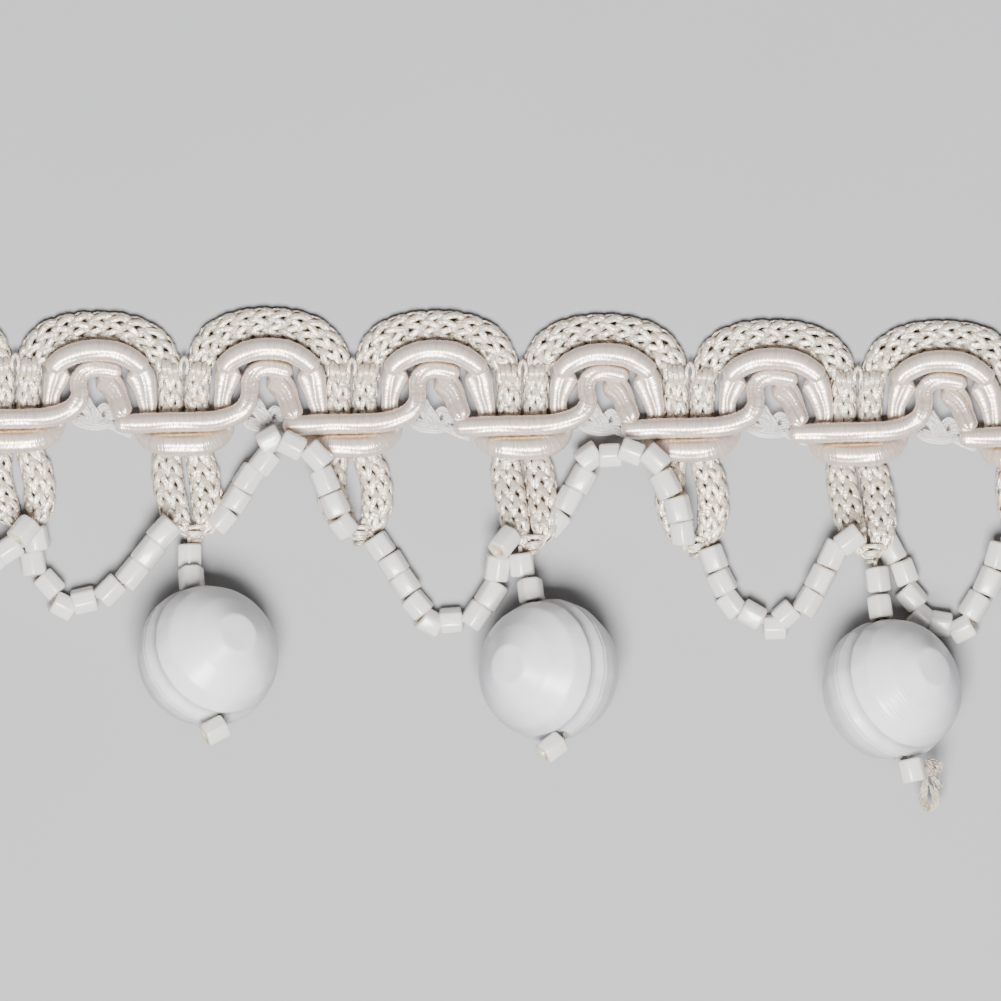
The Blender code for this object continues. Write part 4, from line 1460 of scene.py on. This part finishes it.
@dataclass
class CutBeads:
    """Small beads cut from a six-sided drawn tube, and the thread through them."""

    radius: float = 1.12
    length: float = 2.04
    slack: float = 0.05
    shortest: float = 1.9
    longest: float = 2.3
    tie: float = 0.6
    bore: float = 0.42
    mouth: float = 0.62  # radius to which the bore's edge is worn
    bore_depth: float = 0.55
    bevel: float = 0.05  # of the bore's edge
    thread: float = 0.17
    facets: int = 6
    sides: int = 36
    cut: float = 0.7  # share of a true six-sided section, from round
    cut_from: tuple[float, float] = (0.5, 0.4)  # the radius that it starts at, and how far on it is whole
    curl: float = 0.24  # radius of the end's edge
    worn: tuple[float, ...] = (1.0, 0.8, 0.5, 0.4, 0.25, 0.08, 0.0)  # stain from the bore to the side: the thread's tan in the bore, and painted shade on the end where beads meet
    foot_shade: tuple[float, float] = (0.35, 0.4)  # painted shade on the low side: its strength, and the slope that it ends at
    thread_stain: float = 0.3
    thread_taper: float = 0.9
    turned: float = 0.02  # unevenness of the bore's direction
    slant: float = 0.05  # of an end, as a share of the radius

    def lengths(self, beads: Sequence[Bead]) -> np.ndarray:
        """Each bead's length: the mean distance to its neighbours less the slack, within limits.

        Args:
            beads: a strand's beads, in order.
        Returns:
            Their lengths.
        """
        middles = np.array([bead.middle() for bead in beads])
        gaps = np.linalg.norm(np.diff(middles, axis=0), axis=1)
        gaps = np.concatenate([gaps[:1], gaps, gaps[-1:]])
        return np.clip((gaps[1:] + gaps[:-1]) / 2 - self.slack, self.shortest, self.longest)

    def profile(self) -> np.ndarray:
        """Radius, place along the bead and stain, as three rows.

        They run from inside the bore, over an end and its worn edge, along the side and back.
        """
        half = self.length / 2
        edge = np.linspace(0, math.pi / 2, 4)
        inner = [self.bore, self.bore + self.bevel, self.mouth]
        radius = np.append(inner, self.radius - self.curl * (1 - np.sin(edge)))
        inner = [half - self.bore_depth, half - self.bevel, half]
        along = np.append(inner, half - self.curl * (1 - np.cos(edge)))
        end = np.stack([radius, along, self.worn])
        return np.hstack([end, end[:, ::-1] * [[1], [-1], [1]]])

    def cut_beads(self, beads: Sequence[Bead], lengths: np.ndarray, seed: int) -> Patch:
        """All the beads of a strand, each turned about its bore and cut a little out of square.

        Args:
            beads: their places.
            lengths: the length of each.
            seed: of how they are turned and cut.
        Returns:
            The patch, its tone even over each bead.
        """
        rng = np.random.default_rng(seed)
        ring, along, worn = self.profile()
        end = np.sign(along)[:, None]
        angle = np.arange(self.sides) * math.tau / self.sides
        facet = self.cut * polygon(angle, self.facets)
        start, reach = self.cut_from
        weight = np.clip((ring - start) / reach, 0, 1)[:, None]
        radius = ring[:, None] * (1 + weight * facet)
        middles = np.array([bead.middle() for bead in beads])
        axes = unit(np.array([bead.axis() for bead in beads]) + rng.normal(0, self.turned, (len(beads), 3)))
        side = sideways(axes)
        up = np.cross(side, axes)
        turn = rng.uniform(0, math.tau, len(beads))[:, None] + angle[None]
        outward = np.cos(turn)[..., None] * side[:, None] + np.sin(turn)[..., None] * up[:, None]
        longer = (lengths - self.length)[:, None, None] / 2 * end
        slant = rng.normal(0, self.slant, (len(beads), 1, 1)) * np.cos(angle - math.pi * rng.uniform(0, 2))
        reach = along[:, None] + longer + slant * radius * end
        points = middles[:, None, None] + radius[None, ..., None] * outward[:, None]
        points = points + reach[..., None] * axes[:, None, None]
        tone = rng.uniform(0, 1, len(beads))[:, None, None]
        # painted shade on the low side of each bead
        strength, slope = self.foot_shade
        low = strength * np.clip(slope - outward[..., 2], 0, 1)
        stain_and_shade = np.maximum(worn[None, :, None], low[:, None])
        return grid_patch(points, np.tile(along, (len(beads), 1)), stain_and_shade, tone, closed=True)

    def cord(self, centres: Sequence[np.ndarray]) -> Patch:
        """The thread through some points."""
        half, stain_and_shade, taper = self.thread, self.thread_stain, self.thread_taper
        return strand_patch(centres, half, half, finish=1, stain_and_shade=stain_and_shade, taper=taper)

    def strand(self, shop: Workshop, number: int, beads: Sequence[Bead]) -> None:
        """One swag: its beads and the thread, which runs a little past both ends.

        Args:
            shop: what makes the piece.
            number: the swag's number.
            beads: the places of its beads.
        """
        lengths = self.lengths(beads)
        middles = [bead.middle() for bead in beads]
        first = middles[0] - beads[0].axis() * (lengths[0] / 2 + self.tie)
        last = middles[-1] + beads[-1].axis() * (lengths[-1] / 2 + self.tie)
        patches = [self.cut_beads(beads, lengths, Seed.SWAG + number), self.cord([first, *middles, last])]
        shop.piece(f"bead_swag_{number}", patches, [Slot.SMALL, Slot.TIE], [f"bead_strand_{number}"])

    def build(self, shop: Workshop) -> None:
        """Every swag."""
        for number, beads in enumerate(STRANDS, start=1):
            self.strand(shop, number, beads)


@dataclass
class BallDrop:
    """One turned ball bead with its thread, collars and stopper."""

    number: int
    drop: Drop
    beads: CutBeads
    gap: float = 0.04
    around: int = 180
    sample: float = 0.08  # between two rings
    pole_radius: float = 0.02
    hole: float = 0.5
    hole_depth: float = 1.3
    hole_edge: tuple[float, float] = (1.25, 0.35)  # its outer end and its width, in hole radii
    hole_shade: tuple[float, float] = (0.8, 1.6)  # painted shade in the cross hole: its strength and its outer end
    rounding: int = 5  # samples of the profile that a corner is rounded over
    seam_depth: float = 0.1
    seam_width: float = 0.09
    cove: tuple[float, float] = (1.2, 0.35)  # height of its painted shade, and how wide
    cove_shade: float = 0.35
    foot: tuple[float, float] = (3.0, 0.45)  # its painted shade on downward parts: the height it is seen from, and the slope it ends at
    facets: int = 17
    cut: float = 0.5  # share of a true polygon, from round
    worn_place: tuple[float, float, float] = (0.5, -1.9, 5.5)
    worn_size: float = 1.5

    def tilt(self) -> float:
        """Angle between the turned axis and straight up."""
        return math.asin(math.hypot(*self.drop.pole) / BALL_POLE)

    def centre(self) -> np.ndarray:
        """The ball's middle, with the ball resting on the surface."""
        tilt = self.tilt()
        reach = max(r * math.sin(tilt) + h * math.cos(tilt) for r, h in BALL_PROFILE)
        return np.array([*self.drop.ball, reach])

    def bore(self) -> np.ndarray:
        """Direction of the cross hole towards the collars."""
        return direction(self.drop.heading + 90, -self.drop.dip)

    def profile(self) -> np.ndarray:
        """Radius and height from pole to pole, corners rounded, with the seam's groove.

        The groove is depth * exp(-(height / width)^2) deep.
        """
        rows = np.array(BALL_PROFILE)
        length = distances(rows)
        fine = resampled(np.linspace(0, length[-1], round(length[-1] / self.sample) + 1), length, rows)
        half = self.rounding // 2
        before, after = fine[half:0:-1] * (-1, 1), fine[-2 : -half - 2 : -1] * (-1, 1)
        smooth = blurred(fine, before, after, np.full(self.rounding, 1 / self.rounding))
        smooth[:, 0] -= self.seam_depth * np.exp(-((smooth[:, 1] / self.seam_width) ** 2))
        smooth[[0, -1], 0] = self.pole_radius
        return smooth

    def ball(self) -> Patch:
        """The lathed surface, faintly many-sided at the rim, pushed in at the cross hole's two mouths."""
        profile = self.profile()
        angle = np.arange(self.around) * math.tau / self.around
        axis = np.array([*self.drop.pole, BALL_POLE * math.cos(self.tilt())]) / BALL_POLE
        side = unit(np.cross(axis, UP))
        up = np.cross(side, axis)
        outward = np.cos(angle)[:, None] * side + np.sin(angle)[:, None] * up
        weight = self.cut * np.clip(profile[:, :1] / BALL_RADIUS, 0, 1) ** 6
        radius = profile[:, :1] * (1 + weight * polygon(angle, self.facets))
        points = radius[..., None] * outward[None] + profile[:, 1, None, None] * axis
        bore = self.bore()
        reach = points @ bore
        off = np.linalg.norm(points - reach[..., None] * bore, axis=-1)
        start, width = self.hole_edge
        push = smoothstep(np.clip((self.hole * start - off) / (self.hole * width), 0, 1))
        points = points - (np.sign(reach) * push * self.hole_depth)[..., None] * bore
        # painted shade in the cross hole, in the cove and on the parts that face down
        strength, start = self.hole_shade
        stain_and_shade = strength * np.clip((self.hole * start - off) / self.hole, 0, 1)
        place, width = self.cove
        stain_and_shade = stain_and_shade + self.cove_shade * np.exp(-(((profile[:, 1:] - place) / width) ** 2))
        height, slope = self.foot
        stain_and_shade = stain_and_shade + np.clip(slope - unit(points - height * UP)[..., 2], 0, 1)
        worn = np.linalg.norm(points - self.worn_place, axis=-1) / self.worn_size
        tone = self.drop.worn * np.exp(-(worn**2))
        return grid_patch((points + self.centre())[None], distances(profile)[None], stain_and_shade[None], tone[None])

    def build(self, shop: Workshop) -> None:
        """The ball, then its thread with the collars and the stopper.

        Args:
            shop: what makes the pieces.
        """
        shop.piece(f"ball_{self.number}", [self.ball()], [Slot.BALL], [f"ball_bead_{self.number}"])
        centre, bore = self.centre(), self.bore()
        collar, stopper, length = self.drop.collar, self.drop.stopper, self.beads.length
        lower = centre + bore * (BALL_RADIUS + self.gap + length / 2)
        heading = (math.degrees(math.atan2(-bore[1], -bore[0])) + collar.heading) / 2
        beads = [collar, Bead(*lower, heading, math.degrees(math.asin(-bore[2]))), stopper]
        upper = collar.middle() - collar.axis() * (length / 2 + self.beads.tie)
        below = centre - bore * (BALL_RADIUS + 0.1)
        patches = [
            self.beads.cut_beads(beads, np.full(3, length), Seed.DROP + self.number),
            self.beads.cord([upper, collar.middle(), lower, centre, below, stopper.middle()]),
        ]
        shop.piece(f"drop_{self.number}", patches, [Slot.SMALL, Slot.TIE], [f"drop_thread_{self.number}"])


@dataclass
class ThreadTail:
    """The loose thread end below the last ball: tufts of fine filaments that spread and curl."""

    half: float = 0.055
    sides: int = 5
    samples: int = 48  # along a tuft
    loose: int = 8  # samples from the tuft's start within which a filament starts
    short: int = 12  # samples from its end within which a filament may stop
    curls: int = 4
    curl: float = 0.2  # share of the tuft's half width and half thickness
    stain_and_shade: float = 0.4
    shift: float = 5.0  # the most that a filament's own grain is shifted along it

    def tuft(self, knots: Sequence[Knot], filaments: int, seed: int) -> list[Patch]:
        """Some filaments.

        Args:
            knots: the tuft's route, with its width and thickness.
            filaments: how many.
            seed: of their places across the tuft and of their curls.
        Returns:
            A patch for each filament.
        """
        route = Route(np.array([knot[:5] for knot in knots]))
        places = np.linspace(0, route.length, self.samples)
        rows, side, up = route.frames(places)
        rng = np.random.default_rng(seed)
        marks = np.linspace(0, route.length, self.curls)
        patches = []
        for _ in range(filaments):
            across, high = rng.uniform(-1, 1, 2)
            drift = across + np.interp(places, marks, rng.normal(0, self.curl, self.curls))
            rise = high + np.interp(places, marks, rng.normal(0, self.curl, self.curls))
            offset = drift[:, None] * side * rows[:, 3:4] / 2
            lift = rise[:, None] * up * rows[:, 4:5] / 2
            start = rng.integers(0, self.loose)
            end = rng.integers(self.samples - self.short, self.samples)
            rings = tube((rows[:, :3] + offset + lift)[start:end], UP, self.half, self.half, self.sides)
            along = places[None, start:end] + rng.uniform(0, self.shift)
            patches.append(grid_patch(rings[None], along, self.stain_and_shade))
        return patches

    def build(self, shop: Workshop) -> None:
        """The tufts, as one piece.

        Args:
            shop: what makes the pieces.
        """
        patches = []
        for place, (knots, filaments) in enumerate(((TUFT, 48), (HANK, 26), (WISP, 9))):
            patches += self.tuft(knots, filaments, Seed.TAIL + place)
        shop.piece("thread_fuzz", patches, [Slot.TIE], ["thread_tail"])


# Stage


@dataclass
class Studio:
    """The floor, soft light and the camera straight above the trim. Floor and lights are in metres."""

    view_width: float = 86.0
    centre: tuple[float, float] = (5.68, -8.63)
    roll: float = 0.95
    lens: float = 400.0
    sensor: float = 36.0
    floor_half: float = 3.0
    floor_drop: float = 0.00005
    surround: float = 0.02

    def floor(self) -> None:
        """A plain pale floor under the trim."""
        half, low = self.floor_half, -self.floor_drop
        corners = [(-half, -half, low), (half, -half, low), (half, half, low), (-half, half, low)]
        mesh = bpy.data.meshes.new("floor")
        mesh.from_pydata(corners, [], [(0, 1, 2, 3)])
        tree = ShaderTree("floor")
        colour = tree.mix(tree.cloud(40.0), (0.34, 0.34, 0.35), (0.36, 0.36, 0.37))
        mesh.materials.append(tree.finish(Base_Color=colour, Roughness=0.9, Specular_IOR_Level=0.1))
        floor = placed("floor", mesh)

    def light(self, name: str, place: Sequence[float], size: float, power: float) -> None:
        """A square soft light that faces the trim's middle.

        Args:
            name: its name.
            place: where it stands, in metres.
            size: its side in metres.
            power: its power in watts.
        """
        lamp = bpy.data.lights.new(name, "AREA")
        lamp.shape = "SQUARE"
        lamp.size = size
        lamp.energy = power
        body = placed(name, lamp)
        facing = unit(np.array(place, float))
        body.rotation_euler = (0.0, math.acos(facing[2]), math.atan2(facing[1], facing[0]))
        body.location = place

    def camera(self, shop: Workshop) -> None:
        """Straight above; its distance is the view's width times lens over sensor.

        Args:
            shop: what knows the trim's own origin.
        """
        data = bpy.data.cameras.new("camera")
        data.lens = self.lens
        data.sensor_width = self.sensor
        data.clip_end = 20.0
        body = placed("camera", data)
        x, y = (shop.origin[:2] + self.centre) * MM
        body.location = (x, y, self.view_width * MM * self.lens / self.sensor)
        body.rotation_euler = (0.0, 0.0, math.radians(self.roll))
        bpy.context.scene.camera = body

    def build(self, shop: Workshop) -> None:
        """The floor, the lights, a dim even surround and the camera.

        Args:
            shop: what knows the trim's own origin.
        """
        self.floor()
        self.light("key", (0.0, -0.2, 0.56), 0.22, 11.8)
        self.light("fill", (-0.10, 0.30, 0.60), 0.4, 0.5)
        world = bpy.data.worlds.new("surround")
        world.use_nodes = True
        background = world.node_tree.nodes["Background"].inputs
        background["Color"].default_value = (1.0, 1.0, 1.0, 1.0)
        background["Strength"].default_value = self.surround
        bpy.context.scene.world = world
        self.camera(shop)


def outer_stretches() -> list[list[Knot]]:
    """The outer cord's arches, and its stretches under them. Each cut end stops in the middle of a bar."""
    last = len(SCALLOPS)
    middle = len(LOWER_BAR) // 2
    stretches = [in_scallop(OUTER_ARCH, index) for index in range(last)]
    stretches.append(in_junction(LOWER_BAR, 0)[middle:] + in_scallop(RISING, 0))
    for index in range(1, last):
        falling = in_scallop(FALLING, index - 1)
        stretches.append(falling + in_junction(LOWER_BAR, index) + in_scallop(RISING, index))
    stretches.append(in_scallop(FALLING, last - 1) + in_junction(LOWER_BAR, last)[: middle + 1])
    return stretches


def inner_stretches() -> list[list[Knot]]:
    """The inner cord's bars, each with its arch. Each cut end stops in the middle of a bar."""
    last = len(SCALLOPS)
    middle = len(UPPER_BAR) // 2
    stretches = [in_junction(UPPER_BAR, 0)[middle:] + in_scallop(INNER_ARCH, 0)]
    for index in range(1, last):
        stretches.append(in_junction(UPPER_BAR, index) + in_scallop(INNER_ARCH, index))
    stretches.append(in_junction(UPPER_BAR, last)[: middle + 1])
    return stretches


def main() -> None:
    """Builds every piece, then the stage."""
    logging.basicConfig(level=logging.INFO)
    shop = Workshop()
    Studio().build(shop)
    KnittedCord().build(shop)
    slants = [in_scallop(SLANT, index) for index in range(len(SCALLOPS))]
    SatinCord("outer_satin", "satin_cord_outer", outer_stretches(), line=OUTER_LINE).build(shop)
    SatinCord("inner_satin", "satin_cord_inner", inner_stretches(), line=INNER_LINE).build(shop)
    slack = SatinCord("inner_satin_slants", "satin_cord_inner", slants, lobes=3.0, twist=-0.45, shade=0.35)
    slack.build(shop)
    Heading().build(shop)
    beads = CutBeads()
    beads.build(shop)
    for number, drop in enumerate(DROPS, start=1):
        BallDrop(number, drop, beads).build(shop)
    ThreadTail().build(shop)


if __name__ == "__main__":
    main()
